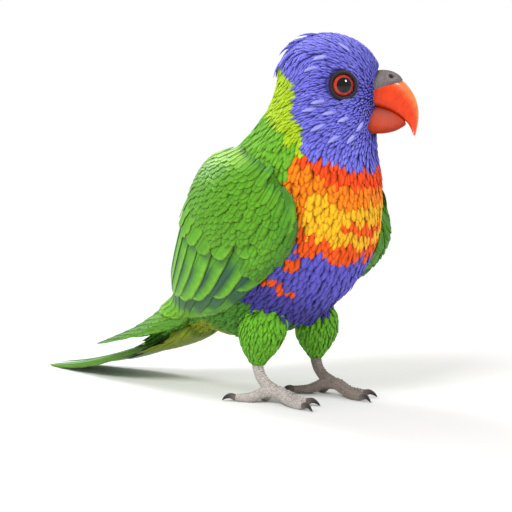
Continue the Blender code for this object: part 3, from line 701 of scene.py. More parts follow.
def coat_bunch(rng, surface, roots, traits):
    """Bunch of small feathers rooted on the skin. traits holds one array for each named trait."""
    count = len(roots)
    lengths, widths = traits["length"], traits["half_width"]
    stops = CONTOUR_STOPS
    path, up = grow(surface, roots, lengths, stops, traits["yaw"])
    forward = unit(np.gradient(path, axis=1))
    aside = unit(np.cross(forward, up))
    lance = traits["lance"][:, None]
    outline = lerp(CONTOUR_WIDTHS, LANCE_WIDTHS, lance) * widths[:, None]
    edges = ragged(rng, (count, len(stops)), outline, 0.09)
    across, body, arch = vane_section(*BODY_VANE)
    root_lift, tip_lift = traits["root_lift"][:, None], traits["tip_lift"][:, None]
    lift = lerp(root_lift, tip_lift, np.sin(stops * LIFT_ARC) / math.sin(LIFT_ARC))
    half = np.where(across[None, None, :] < 0, edges[0][..., None], edges[1][..., None])
    taper = lerp(1.0, 0.45, stops)[None, :, None]
    rise = lift[..., None] + body * taper + arch * half
    points = (
        path[:, :, None, :]
        + aside[:, :, None, :] * (across * half)[..., None]
        + up[:, :, None, :] * rise[..., None]
    )
    along = np.broadcast_to(stops[None, :, None], (count, len(stops), len(across)))
    spread = np.broadcast_to(across[None, None, :], along.shape)
    tint = feather_tint(rng, traits["hue"], traits["rim"], spread, along, traits["root_dark"])
    shaft = traits["shaft"][:, None, None, :]
    glow = (1 - np.abs(spread)) * smoothstep(0.3, 0.9, along) * traits["shine"][:, None, None]
    tint = lerp(tint, shaft, glow[..., None])
    s, angle, _ = spine_place(from_world(roots))
    bake = bake_map(s, angle, spread, along)
    vane = np.stack([spread * half, along * lengths[:, None, None]], axis=-1) / MM
    return Bunch(points, tint, vane, bake)


# Markings

# Borders across the body: angles from the breast's middle line, and at each of them the distance
# up the spine in mm.
HOOD_LINE = (
    (0, 20, 40, 58, 64, 72, 76, 100, 116, 150, 180),
    (102.6, 102.6, 104.0, 103.0, 104.0, 108.0, 113.0, 120.0, 127.0, 134.4, 137.0),
)
COLLAR_LINE = ((58, 65, 80, 103, 130, 180), (101.0, 102.4, 105.8, 109.4, 112.0, 113.0))
BREAST_LINES = (  # from the belly up: the colour above each border
    ("ember", (0, 12, 33, 46, 51, 62), (74.6, 74.5, 73.5, 72.2, 72.9, 74.0)),
    ("amber", (0, 12, 26, 38, 48, 62), (79.4, 79.2, 78.6, 77.3, 78.4, 80.0)),
    ("orange", (0, 24, 38, 49, 57, 70), (91.5, 90.9, 92.3, 91.7, 92.7, 94.0)),
    ("scarlet", (0, 26, 40, 54, 70), (97.2, 96.4, 97.1, 99.2, 101.0)),
)
BREAST_EDGE = 72.0  # angle where the breast's colours end, under the wings
COLLAR_EDGE = 66.0  # angle from which the collar runs on to the nape
LOW_GREENS = (("rump", 45, 360), ("flank", 45, 88), ("vent", 12, 62))  # top in mm, reach in degrees
BELLY = (37, 82, 112)  # foot and top in mm, reach in degrees
FLAMES = ((84.0, 1.5, 26.0),)  # bars in the amber: place, half height, reach
FLANK_BARS = ((66.4, 2.3, 37.0), (54.0, 2.2, 33.0))  # bars on the belly: place, half height, start


def wobble(points, size):
    """Smooth unevenness between about -1 and 1, in waves of about the given size."""
    x, y, z = (points / (size * MM)).T
    return (
        np.sin(2.1 * x + 1.3 * y + 0.4) + np.sin(1.7 * y - 2.3 * z + 1.9) + np.sin(1.9 * z + 1.1 * x + 4.0)
    ) / 3


def markings(still, s, angle, thigh, jitter):
    """Names of the hue at points of the unturned bird. jitter is each one's own unevenness in mm."""
    front = 180.0 - np.abs(np.degrees(angle))
    rise = s / MM + jitter + 0.9 * wobble(still, 9.0)
    names = np.full(len(still), "green", dtype=object)
    for name, top, reach in LOW_GREENS:
        names[(rise < top) & (front < reach)] = name
    foot, top, reach = BELLY
    names[(rise > foot) & (rise < top) & (front < reach)] = "belly"
    breast = front < BREAST_EDGE
    for name, across, line in BREAST_LINES:
        names[breast & (rise > np.interp(front, across, line))] = name
    amber = names == "amber"
    # Painted shade: the yellow turns orange near the wing's edge, where the wing shadows the breast.
    names[amber & (front > 53 + 2 * jitter)] = "orange"
    for place, half, reach in FLAMES:
        half = half * np.sqrt(np.clip(1 - (front / reach) ** 2, 0, 1))
        names[amber & (np.abs(s / MM - place - 0.04 * front) < half)] = "ember"
    belly = names == "belly"
    for place, half, start in FLANK_BARS:
        half = half * np.clip((front - start) / 9.0, 0, 1)
        names[belly & (np.abs(s / MM - place) < half)] = "ember"
    names[(front > COLLAR_EDGE) & (rise > np.interp(front, *COLLAR_LINE))] = "collar"
    names[rise > np.interp(front, *HOOD_LINE)] = "head"
    names[thigh > 0.5] = "thigh"
    return names


def hue_arrays(names):
    """Main and margin colours for an array of hue names."""
    known = sorted(set(names))
    index = np.searchsorted(known, names.astype(str))
    return tuple(np.array([getattr(HUES[name], part) for name in known])[index] for part in Hue._fields)


# Materials


def add_node(tree, kind, inputs=(), out=0, **settings):
    """Adds a node with its values, links and settings, and gives one of its outputs."""
    made = tree.nodes.new("ShaderNode" + kind)
    for key, value in settings.items():
        setattr(made, key, value)
    for socket, value in dict(inputs).items():
        if isinstance(value, bpy.types.NodeSocket):
            tree.links.new(value, made.inputs[socket])
        else:
            made.inputs[socket].default_value = value
    return made.outputs[out]


# Sockets by number: a map range has its value, the range it comes from and the range it goes to,
# and a colour mix has its share at 0 and its colours at 6 and 7.
NOISE_SPAN = {1: 0.3, 2: 0.7}  # where nearly all of a noise's values lie
SMOOTH = {"interpolation_type": "SMOOTHSTEP"}
TIMES = {"operation": "MULTIPLY"}
BLEND = {"data_type": "RGBA", "out": 2}
SHADE = {"data_type": "RGBA", "blend_type": "MULTIPLY", "out": 2}


def new_material(name, **constants):
    """Material with a Principled shader whose plain values are set on its own sockets."""
    made = bpy.data.materials.new(name)
    made.use_nodes = True
    tree = made.node_tree
    shader = tree.nodes["Principled BSDF"]
    for socket, value in constants.items():
        shader.inputs[socket.replace("_", " ")].default_value = value
    return made, tree, shader


def wire(tree, shader, **sources):
    """Links the outputs of nodes to a shader's sockets."""
    for socket, source in sources.items():
        tree.links.new(source, shader.inputs[socket.replace("_", " ")])


def keratin_vane(name, barb_mm, shaft_hex, shaft_share, roughness, specular, sheen):
    """Barbed keratin feather vane: soft light-scattering surface with a smooth shaft.

    Barbs are 0.2 to 0.4 mm apart on the bird, too fine to show, so they are drawn wider.
    """
    made, tree, shader = new_material(
        name, Sheen_Weight=sheen, Sheen_Roughness=0.5, IOR=1.54, Specular_IOR_Level=specular
    )
    tint = add_node(tree, "Attribute", out="Color", attribute_name="tint")
    place = add_node(tree, "TexCoord", out="Object")
    split = add_node(tree, "SeparateXYZ", {0: add_node(tree, "UVMap", uv_map="Vane")}).node
    across = add_node(tree, "Math", {0: split.outputs[0]}, operation="ABSOLUTE")
    sweep = add_node(tree, "Math", {0: across, 1: 0.9}, **TIMES)
    slanted = add_node(tree, "Math", {0: split.outputs[1], 1: sweep}, operation="SUBTRACT")
    turns = add_node(tree, "Math", {0: slanted, 1: 2 * math.pi / barb_mm}, **TIMES)
    wave = add_node(tree, "Math", {0: turns}, operation="SINE")
    barbs = add_node(tree, "MapRange", {0: wave, 1: -1.0, 2: 1.0}, **SMOOTH)
    shaft = add_node(tree, "MapRange", {0: across, 1: 0.38, 2: 0.14}, **SMOOTH)
    dapple = add_node(tree, "TexNoise", {"Vector": place, "Scale": 1 / (2.4 * MM), "Detail": 3.0})
    mottle = add_node(tree, "MapRange", {0: dapple, **NOISE_SPAN, 3: 0.88, 4: 1.06}, **SMOOTH)
    ripple = add_node(tree, "MapRange", {0: barbs, 3: 0.88, 4: 1.03})
    shade = add_node(tree, "Math", {0: mottle, 1: ripple}, **TIMES)
    colour = add_node(tree, "Mix", {0: 1.0, 6: tint, 7: shade}, **SHADE)
    quill = add_node(tree, "Math", {0: shaft, 1: shaft_share}, **TIMES)
    colour = add_node(tree, "Mix", {0: quill, 6: colour, 7: (*linear(shaft_hex), 1.0)}, **BLEND)
    fine = add_node(tree, "TexNoise", {"Vector": place, "Scale": 1 / (1.1 * MM), "Detail": 3.0})
    rough = add_node(
        tree, "MapRange", {0: fine, **NOISE_SPAN, 3: roughness - 0.07, 4: roughness + 0.07}
    )
    ridge = add_node(tree, "Math", {0: shaft, 1: 1.5}, **TIMES)
    height = add_node(tree, "Math", {0: barbs, 1: ridge}, operation="ADD")
    bump = add_node(tree, "Bump", {"Strength": 0.45, "Distance": 0.05 * MM, "Height": height})
    wire(tree, shader, Base_Color=colour, Roughness=rough, Normal=bump)
    return made


def skin_material():
    """Thin bird skin under the coat, tinted with the markings' colours and dull as felt."""
    made, tree, shader = new_material("thin_feathered_skin", IOR=1.4, Specular_IOR_Level=0.2)
    tint = add_node(tree, "Attribute", out="Color", attribute_name="tint")
    place = add_node(tree, "TexCoord", out="Object")
    noise = add_node(tree, "TexNoise", {"Vector": place, "Scale": 1 / (0.9 * MM), "Detail": 3.0})
    shade = add_node(tree, "MapRange", {0: noise, **NOISE_SPAN, 3: 0.7, 4: 1.1}, **SMOOTH)
    colour = add_node(tree, "Mix", {0: 1.0, 6: tint, 7: shade}, **SHADE)
    rough = add_node(tree, "MapRange", {0: noise, **NOISE_SPAN, 3: 0.7, 4: 0.9})
    wire(tree, shader, Base_Color=colour, Roughness=rough)
    return made


def horn_material(name, streak_mm, low_rough, high_rough, coat):
    """Polished horn: a bill's or claw's keratin sheath, glossy over fine growth lines."""
    made, tree, shader = new_material(
        name, IOR=1.54, Specular_IOR_Level=0.2, Coat_Weight=coat, Coat_Roughness=0.2
    )
    tint = add_node(tree, "Attribute", out="Color", attribute_name="tint")
    place = add_node(tree, "TexCoord", out="Object")
    grown = add_node(tree, "UVMap", uv_map="Growth")
    inputs = {"Vector": grown, "Scale": 1.0 / streak_mm, "Detail": 4.0, "Roughness": 0.6}
    streaks = add_node(tree, "TexNoise", inputs)
    lines = add_node(tree, "MapRange", {0: streaks, 1: 0.25, 2: 0.75, 3: 0.82, 4: 1.08}, **SMOOTH)
    cloud = add_node(tree, "TexNoise", {"Vector": place, "Scale": 1 / (3.0 * MM), "Detail": 3.0})
    blotch = add_node(tree, "MapRange", {0: cloud, **NOISE_SPAN, 3: 0.92, 4: 1.05}, **SMOOTH)
    shade = add_node(tree, "Math", {0: lines, 1: blotch}, **TIMES)
    colour = add_node(tree, "Mix", {0: 1.0, 6: tint, 7: shade}, **SHADE)
    rough = add_node(tree, "MapRange", {0: streaks, **NOISE_SPAN, 3: low_rough, 4: high_rough})
    bump = add_node(tree, "Bump", {"Strength": 0.35, "Distance": 0.06 * MM, "Height": streaks})
    wire(tree, shader, Base_Color=colour, Roughness=rough, Normal=bump)
    return made


def bare_skin_material(name, pebble_mm, low_rough, high_rough):
    """Bare leathery skin: pebbled and faintly waxy, as on a cere, an eye ring or a toe."""
    made, tree, shader = new_material(name, IOR=1.45, Specular_IOR_Level=0.4)
    tint = add_node(tree, "Attribute", out="Color", attribute_name="tint")
    place = add_node(tree, "TexCoord", out="Object")
    inputs = {"Vector": place, "Scale": 1.0 / (pebble_mm * MM)}
    cells = add_node(tree, "TexVoronoi", inputs, "Distance", feature="DISTANCE_TO_EDGE")
    pebble = add_node(tree, "MapRange", {0: cells, 2: 0.22}, **SMOOTH)
    groove = add_node(tree, "MapRange", {0: pebble, 3: 0.62, 4: 1.03})
    cloud = add_node(tree, "TexNoise", {"Vector": place, "Scale": 1 / (1.6 * MM), "Detail": 3.0})
    blotch = add_node(tree, "MapRange", {0: cloud, **NOISE_SPAN, 3: 0.85, 4: 1.08}, **SMOOTH)
    shade = add_node(tree, "Math", {0: groove, 1: blotch}, **TIMES)
    colour = add_node(tree, "Mix", {0: 1.0, 6: tint, 7: shade}, **SHADE)
    rough = add_node(tree, "MapRange", {0: cloud, **NOISE_SPAN, 3: low_rough, 4: high_rough})
    bump = add_node(tree, "Bump", {"Strength": 0.6, "Distance": 0.08 * MM, "Height": pebble})
    wire(tree, shader, Base_Color=colour, Roughness=rough, Normal=bump)
    return made


def eye_material():
    """Glass-like cornea over a red iris with radial fibres and a black pupil."""
    made, tree, shader = new_material(
        "wet_eye", IOR=1.38, Specular_IOR_Level=0.0, Coat_Weight=0.8, Coat_Roughness=0.02
    )
    spot = add_node(tree, "UVMap", uv_map="Iris")
    radius = add_node(tree, "VectorMath", {0: spot}, "Value", operation="LENGTH")
    split = add_node(tree, "SeparateXYZ", {0: spot}).node
    turn = add_node(tree, "Math", {0: split.outputs[1], 1: split.outputs[0]}, operation="ARCTAN2")
    around = add_node(tree, "Math", {0: turn, 1: 6.0}, **TIMES)
    outward = add_node(tree, "Math", {0: radius, 1: 0.5}, **TIMES)
    ray = add_node(tree, "CombineXYZ", {0: around, 1: outward})
    fibres = add_node(tree, "TexNoise", {"Vector": ray, "Scale": 2.2, "Detail": 3.0})
    bright = add_node(tree, "MapRange", {0: fibres, **NOISE_SPAN}, **SMOOTH)
    ends = {6: (*linear("#7E1C12"), 1.0), 7: (*linear("#CC3C28"), 1.0)}
    iris = add_node(tree, "Mix", {0: bright, **ends}, **BLEND)
    rim = add_node(tree, "MapRange", {0: radius, 1: IRIS_RADIUS - 0.4, 2: IRIS_RADIUS}, **SMOOTH)
    iris = add_node(tree, "Mix", {0: rim, 6: iris, 7: (*linear("#2A0D0A"), 1.0)}, **BLEND)
    inside = {0: radius, 1: PUPIL_RADIUS + 0.12, 2: PUPIL_RADIUS - 0.05}
    pupil = add_node(tree, "MapRange", inside, **SMOOTH)
    colour = add_node(tree, "Mix", {0: pupil, 6: iris, 7: (*linear("#060303"), 1.0)}, **BLEND)
    wire(tree, shader, Base_Color=colour)
    return made


# Skin

FLESH_NODES = ("torso", "neck", "head", "thigh_left", "thigh_right")


def join_lofts(name, lofts):
    """Mesh of closed tubes, each an array of rings x points."""
    polygons, points, first = [], [], 0
    for rings in lofts:
        stations, around = rings.shape[:2]
        polygons += [group + first for group in grid_polygons(1, stations, around)]
        points.append(rings.reshape(-1, 3))
        first += stations * around
    return build_mesh(name, np.concatenate(points), polygons)


def applied(holder):
    """Mesh of an object with its modifiers applied. The object itself goes."""
    graph = bpy.context.evaluated_depsgraph_get()
    made = bpy.data.meshes.new_from_object(holder.evaluated_get(graph))
    bpy.data.objects.remove(holder)
    made.shade_smooth()
    return made


def remeshed(mesh, voxel, smoothing):
    """One even surface round everything in the mesh."""
    holder = add_object("remesh", mesh)
    change = holder.modifiers.new("even", "REMESH")
    change.mode = "VOXEL"
    change.voxel_size = voxel
    change.use_smooth_shade = True
    soften = holder.modifiers.new("soften", "SMOOTH")
    soften.factor = 0.5
    soften.iterations = smoothing
    return applied(holder)


def tail_point(away, across, up):
    """Point of the tail: distance back along the spine, to the bird's left, and above the spine."""
    centre, back, _ = frame_at(-np.asarray(away, float))
    point = centre + back * np.asarray(up, float)[..., None]
    point[..., 1] += across
    return point


def body_rings():
    """Rings of the skin from the tail's flesh to the crown."""
    angles = circle(96)
    core = np.array(TAIL_CORE)
    rings = []
    for away in np.linspace(core[-1, 0], 1.0, 34):
        over, under, wide = hermite(core[:, 0], core[:, 1:], away) * MM
        deep = np.maximum(np.where(np.cos(angles) >= 0, over, under) - COAT_DEPTH, 0.3 * MM)
        across = -max(wide - COAT_DEPTH, MM) * np.sin(angles)
        rings.append(tail_point(np.full(96, away * MM), across, deep * np.cos(angles)))
    for s in np.linspace(0.5 * MM, TOP, 110):
        rings.append(body_point(s, angles, -COAT_DEPTH))
    rise = np.sin(np.linspace(0, 1, 21)[1:] * math.radians(87))
    for s in TOP + (CROWN_RISE - COAT_DEPTH) * rise:
        rings.append(body_point(s, angles, -COAT_DEPTH))
    return to_world(np.array(rings))


def thigh_rings(foot):
    """Rings of a thigh's skin from the ankle up into the flank."""
    angles = circle(48)
    rings = []
    for z in np.linspace(THIGH[0][2] - 1.5, THIGH[-1][2], 40):
        x, y, girth = thigh_axis(foot, z)
        girth = max(girth - COAT_DEPTH / MM, 2.2)
        ring = [x + girth * np.cos(angles), y + THIGH_FLATNESS * girth * np.sin(angles), np.full(48, z)]
        rings.append(np.stack(ring, axis=-1) * MM)
    return np.array(rings[::-1]) - ORIGIN


def eye_frame(side):
    """The eye's centre, lid centre and outward direction in the model's frame."""
    point = body_point(EYE_RISE, side * EYE_ROUND)
    step = math.radians(1.0)
    across = body_point(EYE_RISE, side * (EYE_ROUND + step)) - point
    along = body_point(EYE_RISE + 0.5 * MM, side * EYE_ROUND) - point
    normal = unit(np.cross(across, along))
    if normal[1] * side > 0:
        normal = -normal
    lid, centre, far = to_world(
        np.array([point + normal * 0.1 * MM, point - normal * EYE_SET_IN, point + normal * MM])
    )
    return centre, lid, unit(far - lid)


def cut_socket(skin, centre):
    """Hollows the skin round an eyeball."""
    shape = bmesh.new()
    bmesh.ops.create_icosphere(shape, subdivisions=4, radius=EYE_RADIUS + 0.25 * MM)
    bmesh.ops.translate(shape, verts=shape.verts, vec=Vector(centre))
    mesh = bpy.data.meshes.new("socket")
    shape.to_mesh(mesh)
    shape.free()
    cutter, holder = add_object("socket", mesh), add_object("skin_cut", skin)
    change = holder.modifiers.new("socket", "BOOLEAN")
    change.object = cutter
    change.operation = "DIFFERENCE"
    change.solver = "MANIFOLD"
    made = applied(holder)
    bpy.data.objects.remove(cutter)
    return made


def make_skin():
    """One skin from the tail's flesh to the crown, thighs included, hidden by the coat."""
    lofts = [body_rings()] + [thigh_rings(foot) for foot in FEET.values()]
    skin = remeshed(join_lofts("skin_lofts", lofts), SKIN_VOXEL, 5)
    surface = Surface(skin)
    for side in SIDES.values():
        skin = cut_socket(skin, eye_frame(side)[0])
    still = from_world(points_of(skin))
    s, angle, fullness = spine_place(still)
    names = markings(still, s, angle, thigh_share(still, fullness), np.zeros(len(still)))
    add_tint(skin, hue_arrays(names)[0] * 0.5)
    add_map(skin, "OFBake", unwrap(s, angle))
    add_piece("skin", skin, skin_material(), FLESH_NODES)
    return surface


# Coat

COAT_PIECES = {  # piece and the record's slot, by hue name
    "head": ("coat_hood", "blue_feathers"),
    "collar": ("coat_collar", "green_feathers"),
    "green": ("coat_mantle", "green_feathers"),
    "rump": ("coat_mantle", "green_feathers"),
    "scarlet": ("coat_breast", "breast_feathers"),
    "orange": ("coat_breast", "breast_feathers"),
    "amber": ("coat_breast", "breast_feathers"),
    "ember": ("coat_breast", "breast_feathers"),
    "belly": ("coat_belly", "blue_feathers"),
    "thigh": ("coat_thighs", "green_feathers"),
    "vent": ("coat_vent", "green_feathers"),
    "flank": ("coat_vent", "green_feathers"),
}


# The coat: where the hood's short feathers begin and are full, in mm up the spine, and what it
# leaves out: the rump's end, what the wing and the tail's coverts hide, and the bare leg.
HOOD_FROM, HOOD_TO = 98.0, 120.0
RUMP_END = -8.0 * MM
WING_HIDES = 7.0 * MM  # so far inside the wing's outline
TAIL_HIDES = -12.0 * MM  # from here back, but for this angle on both sides of the back
TAIL_HIDES_FROM = math.radians(70)
COAT_END = -38.0 * MM
ANKLE_HEIGHT = 17.0 * MM
# Half widths of its feathers in mm: on the breast and on the back, by distance from the bill on the
# head, and on the thigh, with the share that is left next to the eye.
BODY_SCALE = (1.6, 1.95)
HEAD_SCALE = ((8.0, 18.0, 34.0, 46.0), (0.5, 0.72, 0.95, 1.35))
THIGH_SCALE = 1.05
EYE_SCALE = 0.55
# Lengths of its feathers for a half width of one, the head's by distance from the bill.
BODY_SLENDER = 4.8
HEAD_SLENDER = ((8.0, 20.0, 40.0), (3.8, 6.0, 6.8))
THIGH_SLENDER = 5.2
BOLD_SHARE = 0.06  # share of the hood's feathers with a bright shaft


def coat_scale(still, s, angle, thigh):
    """Half width of the feathers in mm, from fine on the face to broad on the back."""
    front = 180.0 - np.abs(np.degrees(angle))
    body = lerp(*BODY_SCALE, smoothstep(70.0, 130.0, front))
    away = np.linalg.norm(still - BILL_BASE, axis=1) / MM
    scale = lerp(body, np.interp(away, *HEAD_SCALE), smoothstep(HOOD_FROM, HOOD_TO, s / MM))
    mirrored = np.stack([still[:, 0], -np.abs(still[:, 1]), still[:, 2]], axis=-1)
    to_eye = np.linalg.norm(mirrored - body_point(EYE_RISE, EYE_ROUND), axis=1) / MM
    scale = scale * lerp(EYE_SCALE, 1.0, smoothstep(4.0, 11.0, to_eye))
    return lerp(scale, THIGH_SCALE, thigh)


def wing_edges(s, side):
    """Angles of a folded wing's back and front edges."""
    table = np.array(WING_EDGE)
    edges = hermite(table[:, 0] * MM, np.radians(table[:, 1:]), s)
    return edges[..., 0], np.where(np.asarray(side) > 0, edges[..., 1], edges[..., 2])


def under_wing(s, angle, margin):
    """True where a point lies under a folded wing, more than margin inside its outline."""
    dorsal, ventral = wing_edges(np.clip(s, WING_LOW, WING_TOP), np.sign(angle))
    turn = np.abs(angle)
    room = margin / arc_rate(s, turn)
    level = (s < WING_TOP - margin) & (s > RUMP_END)
    return level & (turn > dorsal + room) & (turn < ventral - room)


def coat_roots(rng, surface, keep_out):
    """Roots of the coat, leaving out what the wings, tail, eyes and bill cover."""

    def spacing(points):
        still = from_world(points)
        s, angle, fullness = spine_place(still)
        scale = coat_scale(still, s, angle, thigh_share(still, fullness))
        gap = (0.2 + 1.02 * scale) * MM
        hidden = under_wing(s, angle, WING_HIDES) | (s < COAT_END)
        hidden |= (s < TAIL_HIDES) & (np.abs(angle) > TAIL_HIDES_FROM)
        hidden |= points[:, 2] < ANKLE_HEIGHT
        return np.where(hidden, np.inf, gap)

    roots = scatter(rng, surface, spacing)
    for side in SIDES.values():
        _, lid, _ = eye_frame(side)
        roots = roots[np.linalg.norm(roots - lid, axis=1) > RING_RADIUS + RING_THICK * 0.7]
    for blocked in keep_out:
        _, _, outside = blocked.nearest(roots)
        roots = roots[outside > -0.1 * MM]
    return roots


# Single feathers drawn out of the hood, at distance up the spine in mm and angle from the breast.
STREAKS = (
    (145.4, 62), (141.8, 92), (136.6, 101), (123.6, 80), (120.0, 82), (120.2, 64), (119.4, 49),
    (118.6, 30), (114.8, 64), (111.8, 45), (113.4, 31),
)
TUFTS = ((151.0, 136), (146.0, 156), (139.0, 167), (142.0, 145), (148.0, 147))


def single_feathers(rng, surface, places, length, half_width, tip_lift, hue, shine):
    """Bunch of larger feathers on both sides, tips near the given places."""
    roots = [
        to_world(body_point((s + 0.5 * length) * MM, side * math.radians(180 - front)))
        for s, front in places
        for side in SIDES.values()
    ]
    count = len(roots)
    whole = np.ones(count)
    traits = {
        "length": length * MM * rng.uniform(0.9, 1.1, count),
        "half_width": half_width * MM * whole,
        "yaw": rng.normal(0.0, 0.06, count),
        "lance": 0.9 * whole,
        "root_lift": 0.5 * MM * whole,
        "tip_lift": tip_lift * MM * whole,
        "hue": np.tile(hue, (count, 1)),
        "rim": np.tile(hue * 0.85, (count, 1)),
        "root_dark": 0.75,
        "shaft": np.tile(HUES["streak"].main, (count, 1)),
        "shine": shine * whole,
    }
    return coat_bunch(rng, surface, np.array(roots), traits)


def make_coat(surface, materials, keep_out):
    """Small feathers over the whole skin, gathered into a piece for each region."""
    rng = np.random.default_rng(SEED)
    roots = coat_roots(rng, surface, keep_out)
    count = len(roots)
    still = from_world(roots)
    s, angle, fullness = spine_place(still)
    thigh = thigh_share(still, fullness)
    scale = coat_scale(still, s, angle, thigh) * MM
    hood = smoothstep(HOOD_FROM, HOOD_TO, s / MM)
    away = np.linalg.norm(still - BILL_BASE, axis=1) / MM
    slender = lerp(BODY_SLENDER, np.interp(away, *HEAD_SLENDER), hood)
    slender = lerp(slender, THIGH_SLENDER, thigh)
    length = scale * slender * rng.uniform(0.88, 1.14, count)
    tips = surface.nearest(roots + lay_of(roots) * length[:, None])[0]
    tip_still = from_world(tips)
    tip_s, tip_angle, tip_full = spine_place(tip_still)
    uneven = np.clip(rng.normal(0.0, 0.6, count), -1.0, 1.0)
    tip_thigh = np.maximum(thigh, thigh_share(tip_still, tip_full))
    names = markings(tip_still, tip_s, tip_angle, tip_thigh, uneven)
    hue, rim = hue_arrays(names)
    head = names == "head"
    # Painted light over the markings: a lighter band on top of the crown and a lighter stripe down the
    # back are painted highlights, and the darker lower belly is painted shade.
    blends = (
        ("crown", head * smoothstep(156.0, 166.0, still[:, 2] / MM) * 0.9),
        ("shade", (names == "belly") * smoothstep(72.0, 50.0, s / MM) * 0.8),
        ("back", (names == "green") * smoothstep(40.0, 25.0, np.degrees(np.abs(angle))) * 0.4),
    )
    for name, share in blends:
        hue = lerp(hue, HUES[name].main, share[:, None])
        rim = lerp(rim, HUES[name].rim, share[:, None])
    shaft = np.where(head[:, None], HUES["streak"].main, hue * 1.12)
    bold = rng.random(count) < BOLD_SHARE
    fluff = np.where(names == "belly", 0.25, 0.12)
    traits = {
        "length": length,
        "half_width": scale * rng.uniform(0.9, 1.1, count),
        "yaw": rng.normal(0.0, 0.10, count) * lerp(1.0, 0.8, hood),
        "lance": np.clip(hood * 0.9 + 0.3 * thigh, 0.0, 1.0),
        "root_lift": np.full(count, -0.2 * MM),
        "tip_lift": (1.15 + fluff * rng.standard_normal(count)) * MM,
        "hue": hue,
        "rim": rim,
        "root_dark": 0.68,
        "shaft": np.minimum(shaft, 1.0),
        "shine": np.where(head, np.where(bold, 0.8, 0.3), 0.25),
    }
    single = [
        single_feathers(rng, surface, STREAKS, 8.2, 1.2, 1.9, HUES["streak"].main, 0.9),
        single_feathers(rng, surface, TUFTS, 10.0, 1.7, 3.0, HUES["head"].main, 0.5),
    ]
    pieces = np.array([COAT_PIECES[name][0] for name in names])
    for piece, slot in sorted(set(COAT_PIECES.values())):
        chosen = pieces == piece
        part = {k: v[chosen] if isinstance(v, np.ndarray) else v for k, v in traits.items()}
        bunches = [coat_bunch(rng, surface, roots[chosen], part)]
        if piece == "coat_hood":
            bunches += single
        plumage(piece, bunches, materials["coat"])


# Wings and tail

QUILL_VANE = (0.26 * MM, 0.2 * MM, 0.05)  # thickness, shaft's ridge, arch
FLIGHT_COLUMNS = (-1.0, -0.8, -0.5, -0.09, 0.0, 0.09, 0.35, 0.65, 1.0)
COVERT_COLUMNS = (-1.0, -0.5, 0.0, 0.5, 1.0)
# Share of the wing's thickness that is left at its edges, and at the wrist in front on each side.
EDGE_HEIGHT = 0.3
WRIST_HEIGHT = {1: 0.6, -1: 1.3}


def edge_fade(s, angle, side):
    """Share of the wing's thickness left at a place, least at its edges but full at the wrist."""
    dorsal, ventral = wing_edges(s, side)
    across = np.clip((2 * angle - dorsal - ventral) / (ventral - dorsal), -1.0, 1.0)
    wrist = smoothstep(48 * MM, 74 * MM, s) * smoothstep(102 * MM, 92 * MM, s) * (across > 0)
    return lerp(lerp(EDGE_HEIGHT, WRIST_HEIGHT[side], wrist), 1.0, np.sqrt(1.0 - across * across))


def wing_point(s, angle, height, side, up=0.0):
    """Point of a wing at a height over its floor, which fades at the edges, and up from there."""
    return body_point(s, side * angle, WING_FLOOR + height * edge_fade(s, angle, side) + up)


def split_edges(rng, stops, outline, splits):
    """Half widths of a big feather's two edges, with a few places where the barbs part."""
    edges = np.stack([outline, outline]) * (1 + 0.012 * rng.standard_normal((2, len(stops))))
    for _ in range(splits):
        side, spot = rng.integers(2), rng.integers(len(stops) // 3, len(stops) - 3)
        edges[side, spot] *= rng.uniform(0.8, 0.93)
    return np.maximum(edges, 0.05 * MM)


def big_feather(
    rng, place, half_width, length, shape, stations, hues, columns=FLIGHT_COLUMNS, lean=1.0,
    tuck=(0.1, 0.9), tuck_from=0.0, root_to=0.3, root_dark=0.8,
):
    """One flight or tail feather. place(along, across, up) gives points of arrays alike in shape.

    lean makes the vane on the negative side narrower, as a leading vane is. tuck says where across
    the vane the painted shade of the part under its neighbour starts and is full, tuck_from how far
    along it starts, and root_to how far along the painted shade of the covered root reaches.
    root_dark is its depth.
    """
    stops = np.sin(np.linspace(0, 1, stations) * math.pi / 2) ** 1.15
    outline = np.interp(stops, *shape) * half_width
    edges = split_edges(rng, stops, outline, int(rng.integers(1, 4)))
    across, body, arch = vane_section(columns, *QUILL_VANE)
    narrow = np.where(across < 0, lean, 2 - lean)
    half = np.where(across < 0, edges[0][:, None], edges[1][:, None])
    spread = across * half * narrow
    thin = lerp(1.0, 0.4, stops)[:, None]
    along = np.broadcast_to(stops[:, None], half.shape)
    points = to_world(place(along, spread, body * thin + arch * half))
    main, rim, deep = hues
    edge = np.clip((-across - 0.55) / 0.45, 0, 1)[None, :] * 0.85
    edge = np.maximum(edge, smoothstep(0.93, 1.0, along) * 0.6)
    tint = lerp(main, rim, np.broadcast_to(edge, along.shape)[..., None])
    # Painted shade on the part under the neighbour and on the covered root.
    shade = smoothstep(*tuck, across)[None, :] * smoothstep(tuck_from - 0.01, tuck_from + 0.3, along)
    shade = np.maximum(shade * 0.92, smoothstep(root_to + 0.05, root_to - 0.03, along) * root_dark)
    tint = lerp(tint, deep, shade[..., None])
    tint = np.clip(tint * (1 + 0.05 * rng.standard_normal()), 0, 1)
    vane = np.stack([spread, along * length], axis=-1) / MM
    return points, tint, vane, np.broadcast_to(across, along.shape), along


def gather(feathers, homes):
    """Bunch from single feathers and their root places s, angle."""
    points, tint, vane, across, along = (np.stack(values) for values in zip(*feathers))
    s, angle = np.array(homes).T
    return Bunch(points, tint, vane, bake_map(s, angle, across, along))
